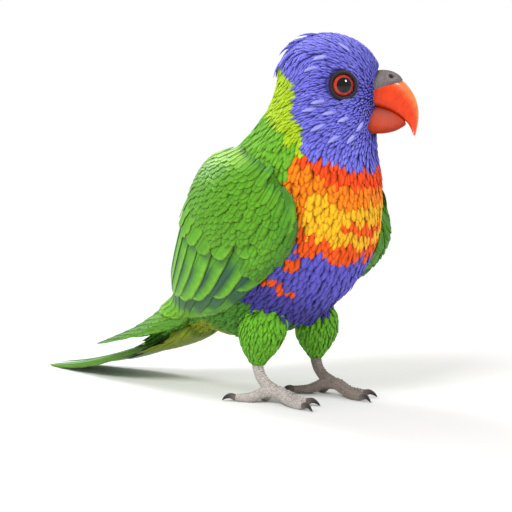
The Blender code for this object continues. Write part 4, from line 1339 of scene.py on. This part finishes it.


# Middle, margin and covered part of each kind of feather, the covered part's dark being painted shade, and
# the painted shade of the wing's front edge.
WING_HUES = (linear("#559A1E"), linear("#86BE34"), linear("#235040"))
COVERT_HUES = (linear("#589E1C"), linear("#84C236"), linear("#235040"))
MEDIAN_HUES = (linear("#5CA020"), linear("#7EBC34"), linear("#3F7A22"))
LESSER_HUES = (linear("#5A9C1E"), linear("#6EAE2A"), linear("#458824"))
PRIMARY_HUES = (linear("#4F961E"), linear("#84BA34"), linear("#1E4A3C"))
TAIL_HUES = (linear("#448A26"), linear("#84BC2A"), linear("#225040"))
UNDER_TAIL_HUES = (linear("#74880E"), linear("#8A9C18"), linear("#5E7A16"))
EDGE_SHADE = linear("#3A7420")


def lit_hues(hues, s, angle, side):
    """Wing colours with a painted highlight along the back edge and painted shade along the front edge."""
    dorsal, ventral = wing_edges(s, side)
    rate = float(arc_rate(s, angle))
    main, rim, deep = hues
    light = 0.8 * float(smoothstep(13 * MM, 4 * MM, (angle - dorsal) * rate))
    below = float(smoothstep(96 * MM, 84 * MM, s))
    dark = 0.6 * float(smoothstep(9 * MM, 4 * MM, (ventral - angle) * rate)) * below
    main = lerp(lerp(main, HUES["back"].main, light), EDGE_SHADE, dark)
    return main, lerp(lerp(rim, HUES["back"].rim, light), EDGE_SHADE * 1.3, dark), deep


# Painted shade: the dark band below each row of wing feathers stands for the shadow of the row over it.
BAND = 2.2  # how far the dark of a feather's covered part shows below the row over it, mm


def spread_row(tier, values):
    """One value for each feather of a row, from values at evenly spread places along it."""
    return np.interp(np.linspace(0, 1, tier.count), np.linspace(0, 1, len(values)), values)


def row_end(tier, angle):
    """Spine distance in mm of a row's tips at an angle in degrees."""
    return np.interp(-angle, -spread_row(tier, tier.tip_angle), spread_row(tier, tier.tip_at))


def tier_feathers(rng, tier, side, hues, stations, columns, cover=None, **dark):
    """A row of wing feathers, each with its edge over the next one towards the breast."""
    ends = (tier.root_at, tier.root_angle, tier.tip_at, tier.tip_angle, tier.bend, *tier.height)
    rows = [spread_row(tier, values) for values in ends]
    feathers, homes = [], []
    for root_at, root_angle, tip_at, tip_angle, bend, root_height, tip_height in zip(*rows):
        root = np.array([root_at * MM, math.radians(root_angle)])
        tip = np.array([(tip_at + rng.uniform(-0.7, 0.7)) * MM, math.radians(tip_angle)])
        start, end = (
            np.clip((angle - back) / (front - back), 0.04, 0.93)
            for angle, (back, front) in ((end[1], wing_edges(end[0], side)) for end in (root, tip))
        )
        # The painted shade on the root reaches BAND below the tips of the row over it.
        if cover:
            dark["root_to"] = (root_at - row_end(cover, tip_angle) + BAND) / (root_at - tip_at)

        def course(u):
            s = lerp(root[0], tip[0], u)
            dorsal, ventral = wing_edges(s, side)
            return s, lerp(dorsal, ventral, lerp(start, end, np.maximum(u, 0.0) ** bend))

        def place(u, across, up):
            s, angle = course(u)
            rate = arc_rate(s, angle)
            ahead_s, ahead_angle = course(u + 0.01)
            along_s, along_angle = ahead_s - s, (ahead_angle - angle) * rate
            size = np.hypot(along_s, along_angle)
            height = lerp(root_height, tip_height, u) * MM
            beside_s = s - along_angle / size * across
            beside_angle = angle + along_s / size * across / rate
            return wing_point(beside_s, beside_angle, height, side, up - tier.tilt * across)

        length = abs(tip[0] - root[0])
        feather = big_feather(
            rng, place, tier.half_width * MM, length, tier.shape, stations,
            lit_hues(hues, *course(0.6), side), columns, 0.92, **dark
        )
        feathers.append(feather)
        homes.append((root[0], side * root[1]))
    return gather(feathers, homes)


def core_lift(s, angle, side):
    """Height of the fleshy wing's outer surface above the body."""
    table = np.array(WING_CORE)[::-1] * MM
    return WING_FLOOR + np.interp(s, table[:, 0], table[:, 1]) * edge_fade(s, angle, side)


FLESH_UNDER = 1.3 * MM


def wing_core_rings(side):
    """Flesh of the folded wing under its coverts."""
    rings = []
    for distance in np.linspace(96.0, 62.0, 30):
        s = distance * MM
        dorsal, ventral = wing_edges(s, side)
        angles = np.linspace(float(dorsal), float(ventral), 40)
        angles = lerp(angles, angles.mean(), 0.08)
        over_coverts = distance - row_end(MEDIAN_COVERTS, np.degrees(angles))
        thick = (core_lift(s, angles, side) - FLESH_UNDER) * smoothstep(7.0, 19.0, over_coverts)
        over = body_point(s, side * angles, np.maximum(thick, 1.6 * MM))
        under = body_point(s, side * angles[::-1], WING_LIFT)
        rings.append(np.concatenate([over, under]))
    rings = np.array(rings)
    if side > 0:
        rings = rings[:, ::-1]
    return to_world(rings)


COVERT_ROWS = np.arange(98.0, 61.0, -2.5)  # lesser coverts' roots up the spine, mm
COVERT_STEP = 2.9 * MM
LESSER_OVER = 13.0  # they root at least this far above the tips of the median coverts, mm
BEND_FROM = math.radians(111.0)  # but in front of this they go on, over the bend of the wing
BEND_HEIGHT = 5.0 * MM
ROLL = 2.4 * MM  # width of the front edge that rolls down to the body
LESSER_RISE = (-0.9 * MM, 0.55 * MM)  # heights of a lesser covert's root and tip over the flesh
COVERT_WRAP = {1: -1.6, -1: 3.6}  # how far the front row stands past the wing's front edge, mm


def lesser_roots(rng, side):
    """Roots of the lesser coverts, spine distance and angle, in staggered rows."""
    roots = []
    for row, distance in enumerate(COVERT_ROWS):
        s = distance * MM
        dorsal, ventral = (float(edge) for edge in wing_edges(min(s, 96.5 * MM), side))
        rate = float(arc_rate(s, (dorsal + ventral) / 2))
        step = COVERT_STEP / rate
        wrap = smoothstep(60.0, 78.0, distance) * smoothstep(94.0, 86.0, distance)
        front = ventral + lerp(-2.0, COVERT_WRAP[side], float(wrap)) * MM / rate
        for i in range(int((front - dorsal) / step) + 2):
            angle = front - step * (i + 0.5 * (row % 2))
            clear = distance > row_end(MEDIAN_COVERTS, math.degrees(angle)) + LESSER_OVER
            if angle > dorsal - 0.3 * step and (clear or angle > BEND_FROM):
                roots.append((s + rng.normal(0, 0.3) * MM, angle + rng.normal(0, 0.1) * step))
    return roots


def small_coverts(rng, side):
    """Scale-like lesser coverts over the shoulder, that roll round its front edge to the body."""
    feathers, homes = [], []
    for s0, angle0 in lesser_roots(rng, side):
        length = rng.uniform(7.2, 8.6) * MM
        drift = rng.normal(0.0, 0.05)
        over_coverts = s0 / MM - row_end(MEDIAN_COVERTS, math.degrees(angle0))
        bend = float(smoothstep(15.0, 4.0, over_coverts))

        def place(u, across, up):
            s = s0 - length * u
            dorsal, ventral = wing_edges(s, side)
            rate = arc_rate(s, angle0)
            angle = angle0 + drift * length * u / rate - across / rate
            over = np.maximum(angle - ventral + ROLL / rate, 0.0) * rate
            inside = np.clip(angle, dorsal, ventral)
            low = WING_FLOOR + BEND_HEIGHT * edge_fade(s, inside, side)
            lift = lerp(core_lift(s, inside, side), low, bend) + lerp(*LESSER_RISE, u)
            lift = np.maximum(lift - 0.12 * across - 1.5 * over, 1.2 * MM)
            return body_point(s, side * angle, lift + up)

        half_width = rng.uniform(2.2, 2.55) * MM
        hues = lit_hues(LESSER_HUES, s0, angle0, side)
        feathers.append(
            big_feather(rng, place, half_width, length, ROUNDED, 8, hues, COVERT_COLUMNS, tuck=(0.3, 1.2))
        )
        homes.append((s0, side * angle0))
    return gather(feathers, homes)


def make_wing(name, side, materials):
    """Folded wing: its flesh, its flight feathers, and three tiers of coverts over them."""
    rng = np.random.default_rng(SEED + side)
    mesh = join_lofts("wing_flesh_" + name, [wing_core_rings(side)])
    add_tint(mesh, np.tile(LESSER_HUES[0] * 0.5, (len(mesh.vertices), 1)))
    s, angle, _ = spine_place(from_world(points_of(mesh)))
    add_map(mesh, "OFBake", unwrap(s, angle))
    add_piece("wing_flesh_" + name, mesh, materials["skin"], ("wing_" + name,))
    flight = [
        tier_feathers(rng, PRIMARIES, side, PRIMARY_HUES, 34, FLIGHT_COLUMNS, tuck=(-0.65, -0.1)),
        tier_feathers(
            rng, SECONDARIES, side, WING_HUES, 30, FLIGHT_COLUMNS, GREATER_COVERTS, tuck=(0.1, 0.45)
        ),
    ]
    plumage("flight_feathers_" + name, flight, materials["flight"])
    coverts = [
        tier_feathers(
            rng, GREATER_COVERTS, side, COVERT_HUES, 24, FLIGHT_COLUMNS, MEDIAN_COVERTS,
            tuck=(-0.5, -0.12), tuck_from=0.35, root_dark=0.45,
        ),
        tier_feathers(
            rng, MEDIAN_COVERTS, side, MEDIAN_HUES, 18, FLIGHT_COLUMNS, tuck=(0.2, 0.6), tuck_from=0.5
        ),
        small_coverts(rng, side),
    ]
    plumage("wing_coverts_" + name, coverts, materials["flight"])


def rectrix(rng, index, side):
    """Tail feather in parallel layers, each lower and further out than the one before."""
    length = TAIL_LENGTH[index] * MM
    first, last, wide = (
        (start + step * index) * MM for start, step in (TAIL_ROOT_OUT, TAIL_TIP_OUT, TAIL_HALF_WIDTH)
    )
    layers_down = index + (1 if index or side < 0 else 0)
    layer = (TAIL_TOP - TAIL_STEP * layers_down) * MM

    def place(u, across, up):
        away = TAIL_SUNK + (length - TAIL_SUNK) * u
        beside = first + (last - first) * u - across
        if index:
            beside = np.maximum(beside, TAIL_MIDDLE_GAP)
        roof = TAIL_ROOF * np.maximum(np.abs(beside) - 3 * MM, 0.0)
        return tail_point(away, side * beside, layer - roof + up)

    return big_feather(rng, place, wide, length, POINTED, 36, TAIL_HUES, FLIGHT_COLUMNS, 0.95)


# Coverts of the tail: half width of the flesh that they lie round, how deep their roots dip, how far
# their tips rise, and the spacing across a row, all in mm.
RUMP_HALF_WIDTH = 17.5
ROOT_DIP = 2.2
TIP_RISE = 0.6
COVERT_SPACING = 3.4


def tail_covert(rng, offset, column, length, way, sunk, hues):
    """Short feather over or under the tail's root, offset in mm from the middle."""
    core = np.array(TAIL_CORE)

    def place(u, across, up):
        away = lerp(3.0, length, u)
        beside = offset * (1 - 0.12 * u) * MM + across
        rim = np.sqrt(np.maximum(1 - (beside / (RUMP_HALF_WIDTH * MM)) ** 2, 0.1))
        height = np.interp(away, core[:, 0], core[:, column]) * rim
        roof = TAIL_ROOF * np.maximum(np.abs(beside) / MM - 3.0, 0.0)
        stack = TAIL_TOP - roof if way > 0 else TAIL_STEP * len(TAIL_LENGTH) - TAIL_TOP + roof
        height = np.maximum(height, stack + 0.3) + TIP_RISE * u - sunk
        height = height - ROOT_DIP * smoothstep(0.4, 0.0, u)
        return tail_point(away * MM, beside, way * (height * MM + up))

    return big_feather(rng, place, 4.2 * MM, length * MM, ROUNDED, 14, hues, COVERT_COLUMNS)


def make_tail(materials):
    """Long tapering tail feathers, and the coverts over and under their roots."""
    rng = np.random.default_rng(SEED + 7)
    places = [(index, side) for index in range(len(TAIL_LENGTH)) for side in (1, -1)]
    quills = [rectrix(rng, index, side) for index, side in places]
    homes = [(-TAIL_SUNK, side * 0.1 * index) for index, side in places]
    long = gather(quills, homes)
    plumage("tail_feathers", [long], materials["flight"], ("tail",))
    coverts, homes = [], []
    for column, way, hues, lengths in (
        (1, 1, LESSER_HUES, (42, 35, 28, 21, 14)),
        (2, -1, UNDER_TAIL_HUES, (48, 42, 36, 30, 24, 17)),
    ):
        for row, reach in enumerate(lengths):
            for step in range(-3, 4):
                offset = COVERT_SPACING * (step + (0.5 if row % 2 else 0.0))
                length = reach - 0.5 * abs(offset) + rng.uniform(-1.0, 1.0)
                sunk = 0.3 - 0.35 * row if way > 0 else 0.1 - 0.17 * row
                coverts.append(tail_covert(rng, offset, column, length, way, sunk, hues))
                homes.append((-0.01 - 0.001 * row, 0.1 * step if way > 0 else math.pi - 0.1 * step))
    plumage("tail_coverts", [gather(coverts, homes)], materials["flight"])


# Bill, cere and eyes


def bill_rings(rows, stations, count, square=0):
    """Rings of a bill piece from its culmen to its cutting edge, squared off below, -1, or above, 1."""
    rows = np.array(rows) * MM
    stops = np.linspace(0, len(rows) - 1, stations)
    angles = circle(count)
    cosine, sine = np.cos(angles), np.sin(angles)
    blunt = np.where(cosine * square > 0.05, 0.5, 0.85)
    rings = []
    for row in hermite(np.arange(len(rows)), rows, stops):
        top, low = np.array([row[0], 0, row[1]]), np.array([row[2], 0, row[3]])
        middle, rise = (top + low) / 2, (top - low) / 2
        wide = max(row[4], 0.3 * MM)
        ring = middle + np.outer(np.sign(cosine) * np.abs(cosine) ** (blunt + 0.1), rise)
        ring[:, 1] -= wide * np.sign(sine) * np.abs(sine) ** blunt
        rings.append(ring)
    return np.array(rings), angles


GROWTH_ROUND, GROWTH_ALONG = 40.0, 28.0  # size of the bill's surface, mm


def growth_map(rings, stretch):
    """Map in mm round and along a loft, stretched so that noise on it becomes growth lines."""
    stations, count = rings.shape[:2]
    around = np.linspace(0, 1, count, endpoint=False)[None, :] * GROWTH_ROUND
    along = np.linspace(0, 1, stations)[:, None] * GROWTH_ALONG
    return np.stack(np.broadcast_arrays(around / stretch, along), axis=-1)


def faces_out(rings):
    """True where the faces between rings point away from their middle."""
    centre = rings.reshape(-1, 3).mean(axis=0)
    step = rings[1:, :-1] - rings[:-1, :-1]
    round_step = rings[:-1, 1:] - rings[:-1, :-1]
    return (np.cross(round_step, step) * (rings[:-1, :-1] - centre)).sum() > 0


def loft_piece(name, rings, tint, growth, material, replaced):
    """Piece from world rings, with its colours and growth map, turned so that it faces out."""
    if not faces_out(rings):
        rings, tint, growth = (values[:, ::-1] for values in (rings, tint, growth))
    mesh = build_mesh(name, rings.reshape(-1, 3), grid_polygons(1, *rings.shape[:2]))
    add_tint(mesh, tint.reshape(-1, 3))
    add_map(mesh, "Growth", growth.reshape(-1, 2))
    return add_piece(name, mesh, material, replaced)


# The lower mandible's darker red is painted shade under the upper one.
BILL_HEX = {-1: "#E23C08", 1: "#B0340C"}
BILL_SHUT = 1.0  # how far the lower mandible's top rises into the upper, mm
LOWER_TIP = (54.4, 128.6, 54.9, 128.0, 1.2)


def make_bill(materials):
    """Upper and lower mandible, the upper with a hooked tip."""
    surfaces = []
    lower = [(x, z + BILL_SHUT, *rest) for x, z, *rest in (*LOWER_BILL, LOWER_TIP)]
    for name, rows, square, node, horn in (
        ("bill_horn_upper", UPPER_BILL, -1, "bill_upper", "bill"),
        ("bill_horn_lower", lower, 1, "bill_lower", "lower_bill"),
    ):
        rings, angles = bill_rings(rows, 64, 64, square)
        along = np.linspace(0, 1, len(rings))[:, None]
        top = np.clip(np.cos(angles), 0, 1)[None, :] ** 1.6
        low = np.clip(-np.cos(angles), 0, 1)[None, :] ** 2
        tint = np.broadcast_to(linear(BILL_HEX[square]), rings.shape).copy()
        # Painted highlight along the upper's culmen and painted shade on its underside. On the lower,
        # painted shade on its underside and dark painted shade on its top, inside the gape.
        if square < 0:
            tint = lerp(tint, linear("#FFA050"), (top * smoothstep(0.12, 0.5, along) * 0.9)[..., None])
            tint = lerp(tint, linear("#C83A14"), (low * 0.6)[..., None])
        else:
            tint = lerp(tint, linear("#96280A"), (low * 0.6)[..., None])
            tint = lerp(tint, linear("#6E1C0C"), top[..., None])
        tint = lerp(tint, linear("#B8381A"), (smoothstep(0.16, 0.0, along) * 0.5)[..., None])
        growth = growth_map(rings, 3.0)
        piece = loft_piece(name, to_world(rings), tint, growth, materials[horn], (node,))
        surfaces.append(Surface(piece.data))
    return surfaces


def make_cere(materials):
    """Swollen bare skin over the bill's root, with two open nostrils."""
    rings, _ = bill_rings(CERE, 56, 112)
    tint = np.broadcast_to(linear("#7A7070"), rings.shape).copy()
    for side in (1, -1):
        hole = np.array([NOSTRIL[0], -side * NOSTRIL[1], NOSTRIL[2]]) * MM
        away = np.linalg.norm(rings - hole, axis=-1) / NOSTRIL_RADIUS
        inward = unit(rings.mean(axis=(0, 1)) - hole)
        hollow = smoothstep(1.05, 0.5, away) * NOSTRIL_DEPTH
        lip = smoothstep(1.0, 1.5, away) * smoothstep(2.3, 1.5, away) * NOSTRIL_LIP
        rings = rings + inward * (hollow - lip)[..., None]
        # Painted shade: the hollow of each nostril is darkened to near black.
        tint = lerp(tint, linear("#1A1212"), smoothstep(1.15, 0.7, away)[..., None])
    growth = growth_map(rings, 1.0)
    piece = loft_piece(
        "cere_skin", to_world(rings), tint, growth, materials["cere"], ("cere",)
    )
    return Surface(piece.data)


def eyeball_mesh(centre, turn):
    """Ball with a bulging cornea, and a map in mm from the middle of its iris."""
    shape = bmesh.new()
    bmesh.ops.create_uvsphere(shape, u_segments=96, v_segments=64, radius=EYE_RADIUS)
    for vert in shape.verts:
        across = math.hypot(vert.co.x, vert.co.y) / MM
        if vert.co.z > 0:
            vert.co.z += CORNEA_BULGE * float(smoothstep(IRIS_RADIUS, 0.0, across))
    mesh = bpy.data.meshes.new("eye")
    shape.to_mesh(mesh)
    shape.free()
    points = points_of(mesh)
    past_iris = np.where(points[:, 2:3] < 0, BEHIND_EYE, 0.0)
    add_map(mesh, "Iris", (points[:, :2] + past_iris) / MM)
    mesh.transform(Matrix.Translation(Vector(centre)) @ turn.to_4x4())
    mesh.shade_smooth()
    return mesh


def eye_ring_mesh(name, lid, turn):
    """Beaded ring of bare skin round an eye."""
    around = circle(24)
    rings = []
    for angle in circle(96):
        thick = RING_THICK * (1 + BEAD_SWELL * math.cos(angle * RING_BEADS))
        radius = RING_RADIUS + thick * np.cos(around)
        height = RING_FLATNESS * thick * np.sin(around) - RING_SUNK
        local = np.stack([radius * math.cos(angle), radius * math.sin(angle), height], axis=-1)
        rings.append(local[::-1] @ np.array(turn).T + lid)
    rings = np.array(rings)
    quads = grid_polygons(1, *rings.shape[:2], looped=True)
    mesh = build_mesh("eye_ring_" + name, rings.reshape(-1, 3), quads)
    add_tint(mesh, np.tile(linear("#241A22"), (len(mesh.vertices), 1)))
    return mesh


def make_eyes(materials):
    """Eyeballs in dark rings of bare pebbled skin."""
    for name, side in SIDES.items():
        centre, lid, outward = eye_frame(side)
        turn = Vector((0, 0, 1)).rotation_difference(Vector(outward)).to_matrix()
        ball = eyeball_mesh(centre, turn)
        add_piece("eyeball_" + name, ball, materials["eye"], ("eye_" + name,))
        ring = eye_ring_mesh(name, lid, turn)
        add_piece("eye_ring_" + name, ring, materials["ring"])


# Feet

# The left foot's darker grey is painted shade: both feet are the same grey skin, the far one in shadow.
FOOT_HEX = {"right": "#C6BDB7", "left": "#94877F"}
FOOT_VOXEL = 0.32 * MM
SCUTE_PITCH = 1.55  # scute plates: spacing, reach round the limb in radians, and thickness, in mm
SCUTE_REACH = 1.15
SCUTE_THICK = 0.42
SCUTE_SECTION = ((0.0, -0.25), (0.25, 0.05), (0.6, 0.5), (0.95, 0.95), (1.12, 0.9), (1.16, 0.3))


def swept(path, girth, stations, around, flatten=1.0):
    """Rings along a smooth path with its own girth, in mm."""
    path, girth = np.array(path, float), np.array(girth, float)
    knots = np.arange(len(path))
    stops = np.linspace(0, len(path) - 1, stations)
    centre = hermite(knots, path, stops)
    radius = np.maximum(hermite(knots, girth, stops), 0.05)
    ahead = unit(np.gradient(centre, axis=0))
    aside = unit(np.cross(ahead, np.array([0.0, 0.0, 1.0]) + 1e-6))
    up = np.cross(aside, ahead)
    angles = circle(around)
    ring = (
        centre[:, None]
        + aside[:, None] * (radius[:, None] * np.cos(angles) * flatten)[..., None]
        + up[:, None] * (radius[:, None] * np.sin(angles))[..., None]
    )
    return ring, centre, aside, up, radius


def toe_path(foot, angle, length):
    """Points from the hub to a toe's end, in mm."""
    turn = math.radians(angle)
    steps = np.linspace(0.0, length, len(TOE_RISE))
    return [
        (foot[0] + math.cos(turn) * d, foot[1] + math.sin(turn) * d, z)
        for d, z in zip(steps, TOE_RISE)
    ]


def toe_girths(length):
    """Girths with a slight swelling at each joint."""
    steps = np.linspace(0, 1, len(TOE_GIRTH))
    return np.array(TOE_GIRTH) * (1 + 0.04 * np.cos(steps * 4 * math.pi + length))


def scute_plates(centre, aside, up, radius):
    """Overlapping plates over the top of a swept limb: plates x rings x section points, in mm."""
    away = np.concatenate([[0], np.cumsum(np.linalg.norm(np.diff(centre, axis=0), axis=1))])
    section = np.linspace(-1, 1, 13)
    round_off = np.cos(section * math.pi / 2) ** 0.4
    plates = []
    for number in range(int(away[-1] / SCUTE_PITCH)):
        rings = []
        for u, rise in SCUTE_SECTION:
            spot = min((number + u) * SCUTE_PITCH, away[-1])
            middle, across, above = (
                np.array([np.interp(spot, away, values[:, axis]) for axis in range(3)])
                for values in (centre, aside, up)
            )
            girth = np.interp(spot, away, radius)
            swing = section * SCUTE_REACH * (1 - 0.12 * (u > 1))
            over, under = (
                middle + np.outer(np.sin(swing) * reach, across) + np.outer(np.cos(swing) * reach, above)
                for reach in (girth + SCUTE_THICK * rise * round_off + 0.02, girth - 0.35)
            )
            rings.append(np.concatenate([over, under[::-1]]))
        plates.append(rings)
    return np.array(plates)


def make_foot(name, foot, materials):
    """Foot of two toes ahead and two behind, pebbled skin with a row of scutes over each toe."""
    shank = [(foot[0] + x, foot[1], z) for x, z, _ in TARSUS]
    girths = [r for _, _, r in TARSUS]
    limbs = [(shank, girths, 40)]
    limbs += [(toe_path(foot, angle, length), toe_girths(length), 64) for angle, length in TOES]
    lofts, plates = [], []
    for number, (path, girth, stations) in enumerate(limbs):
        rings, centre, aside, up, radius = swept(path, girth, stations, 28)
        lofts.append(rings * MM - ORIGIN)
        begin = 4 if number else 3  # clear of the hub
        plates.append(scute_plates(centre[begin:], aside[begin:], up[begin:], radius[begin:]))
    mesh = remeshed(join_lofts("foot_lofts", lofts), FOOT_VOXEL, 4)
    points = points_of(mesh)
    points[:, 2] = np.maximum(points[:, 2], FLOOR_CLEAR)
    mesh.vertices.foreach_set("co", points.astype(np.float32).ravel())
    pale = linear(FOOT_HEX[name])
    add_tint(mesh, np.tile(pale * 0.92, (len(points), 1)))
    add_piece("foot_skin_" + name, mesh, materials["foot"], ("foot_" + name,))
    plate = np.concatenate(plates) * MM - ORIGIN
    plate[..., 2] = np.maximum(plate[..., 2], FLOOR_CLEAR)
    mesh = build_mesh("scutes_" + name, plate.reshape(-1, 3), grid_polygons(*plate.shape[:3]))
    add_tint(mesh, np.tile(pale, (len(mesh.vertices), 1)))
    add_piece("scutes_" + name, mesh, materials["foot"])


def make_claws(name, foot, materials):
    """Curved claws, pale where they leave the toes and dark to their points."""
    for number, (angle, length) in enumerate(TOES, 1):
        turn = math.radians(angle)
        start = length - 0.5
        path = [(0.0, 2.0)] + list(zip(np.array(CLAW_ALONG) + 0.8, CLAW_RISE))
        points = [
            (foot[0] + math.cos(turn) * (start + d), foot[1] + math.sin(turn) * (start + d), z)
            for d, z in path
        ]
        rings = swept(points, (1.3,) + CLAW_GIRTH, 40, 28, 0.8)[0] * MM - ORIGIN
        rings[..., 2] = np.maximum(rings[..., 2], FLOOR_CLEAR)
        along = np.linspace(0, 1, len(rings))[:, None]
        tint = lerp(linear("#6A605C"), linear("#262020"), smoothstep(0.1, 0.8, along)[..., None])
        tint = np.broadcast_to(tint, rings.shape)
        growth = growth_map(rings, 2.0)
        node = f"claw_{name}_{number}"
        loft_piece("horn_" + node, rings, tint, growth, materials["claw"], (node,))


# Stage, lights and camera

BACKDROP_HEX = "#FFFFFF"
FLOOR_HEX = "#EFEEEC"
FLOOR_RADIUS = 2.4
FADE_FROM, FADE_TO = 0.16, 0.5  # where the floor starts to melt into the backdrop, and where it has


def make_stage():
    """Pale studio floor that fades into the background."""
    bpy.ops.mesh.primitive_circle_add(vertices=128, radius=FLOOR_RADIUS, fill_type="NGON")
    floor = bpy.context.object
    floor.name = "studio_floor"
    made, tree, shader = new_material("matt_white_board", Roughness=0.85)
    place = add_node(tree, "TexCoord", out="Object")
    cloud = add_node(tree, "TexNoise", {"Vector": place, "Scale": 1 / (60.0 * MM)})
    shade = add_node(tree, "MapRange", {0: cloud, **NOISE_SPAN, 3: 0.98}, **SMOOTH)
    colour = add_node(tree, "Mix", {0: 1.0, 6: (*linear(FLOOR_HEX), 1.0), 7: shade}, **SHADE)
    wire(tree, shader, Base_Color=colour)
    radius = add_node(tree, "VectorMath", {0: place}, "Value", operation="LENGTH")
    fade = add_node(tree, "MapRange", {0: radius, 1: FADE_FROM, 2: FADE_TO}, **SMOOTH)
    glow = add_node(tree, "Emission", {"Color": (*linear(BACKDROP_HEX), 1.0)})
    mixed = add_node(tree, "MixShader", {0: fade, 1: shader.outputs[0], 2: glow})
    tree.links.new(mixed, tree.nodes["Material Output"].inputs["Surface"])
    floor.data.materials.append(made)


AMBIENT = 0.55  # strength of the studio's soft light from all round
LIGHTS = (  # name, watts, size, what it lights, and right of, towards and above the bird for the camera
    ("key", 11.5, 0.5, "colour", (-0.5, 0.7, 0.85)),
    ("fill", 5.0, 0.9, "colour", (0.95, 0.6, 0.3)),
    ("rim", 8.0, 0.5, "both", (-0.55, -0.7, 0.7)),
    ("catchlight", 8.0, 0.26, "gloss", (0.56, 0.3, 0.78)),
)


def make_lights(target):
    """Soft studio light, and a pale background that the camera sees."""
    world = bpy.data.worlds.new("soft_studio")
    world.use_nodes = True
    tree = world.node_tree
    pale = (*linear(BACKDROP_HEX), 1.0)
    soft = add_node(tree, "Background", {"Color": pale, "Strength": AMBIENT})
    seen = add_node(tree, "Background", {"Color": pale, "Strength": 1.0})
    direct = add_node(tree, "LightPath", out="Is Camera Ray")
    both = add_node(tree, "MixShader", {0: direct, 1: soft, 2: seen})
    tree.links.new(both, tree.nodes["World Output"].inputs["Surface"])
    bpy.context.scene.world = world
    axes = np.array([VIEW_RIGHT, VIEW_TOWARD, (0.0, 0.0, 1.0)])
    for name, power, size, lit, offset in LIGHTS:
        data = bpy.data.lights.new(name, "AREA")
        data.energy = power
        data.size = size
        light = add_object(name, data)
        light.visible_glossy = lit != "colour"
        light.visible_diffuse = lit != "gloss"
        light.location = target + np.array(offset) @ axes
        light.rotation_euler = Vector(-np.array(offset) @ axes).to_track_quat("-Z", "Y").to_euler()


def make_camera():
    """The photo's view. Gives the point that it looks at."""
    data = bpy.data.cameras.new("camera")
    data.lens = LENS
    data.sensor_width = SENSOR
    data.clip_start = 0.01
    camera = add_object("camera", data)
    upright = np.array([0.0, 0.0, 1.0])
    back = VIEW_TOWARD * math.cos(VIEW_ELEVATION) + upright * math.sin(VIEW_ELEVATION)
    target = -ORIGIN + (VIEW_RIGHT * FRAME_SHIFT[0] + upright * FRAME_SHIFT[1]) * MM
    distance = LENS / SENSOR * PICTURE * MM_PER_PIXEL * MM
    camera.location = target + back * distance
    camera.rotation_euler = Vector(-back).to_track_quat("-Z", "Y").to_euler()
    bpy.context.scene.camera = camera
    return target


def main():
    bpy.context.scene.view_settings.view_transform = "Standard"
    target = make_camera()
    make_lights(target)
    make_stage()
    materials = {
        "coat": keratin_vane("barbed_keratin_body_coat", 0.7, "#302848", 0.08, 0.62, 0.12, 0.02),
        "flight": keratin_vane("barbed_keratin_flight_feather", 0.95, "#1C3416", 0.4, 0.46, 0.2, 0.02),
        "skin": skin_material(),
        "bill": horn_material("polished_bill_horn", 1.6, 0.24, 0.38, 0.22),
        "lower_bill": horn_material("worn_bill_horn", 1.6, 0.52, 0.64, 0.0),
        "claw": horn_material("dark_claw_horn", 0.9, 0.28, 0.42, 0.25),
        "cere": bare_skin_material("waxy_cere_skin", 0.7, 0.42, 0.58),
        "ring": bare_skin_material("bare_eye_ring_skin", 0.5, 0.5, 0.65),
        "foot": bare_skin_material("scaly_toe_skin", 0.9, 0.5, 0.68),
        "eye": eye_material(),
    }
    surface = make_skin()
    keep_out = make_bill(materials)
    keep_out.append(make_cere(materials))
    make_eyes(materials)
    make_coat(surface, materials, keep_out)
    for name, side in SIDES.items():
        make_wing(name, side, materials)
    make_tail(materials)
    for name, foot in FEET.items():
        make_foot(name, foot, materials)
        make_claws(name, foot, materials)


main()
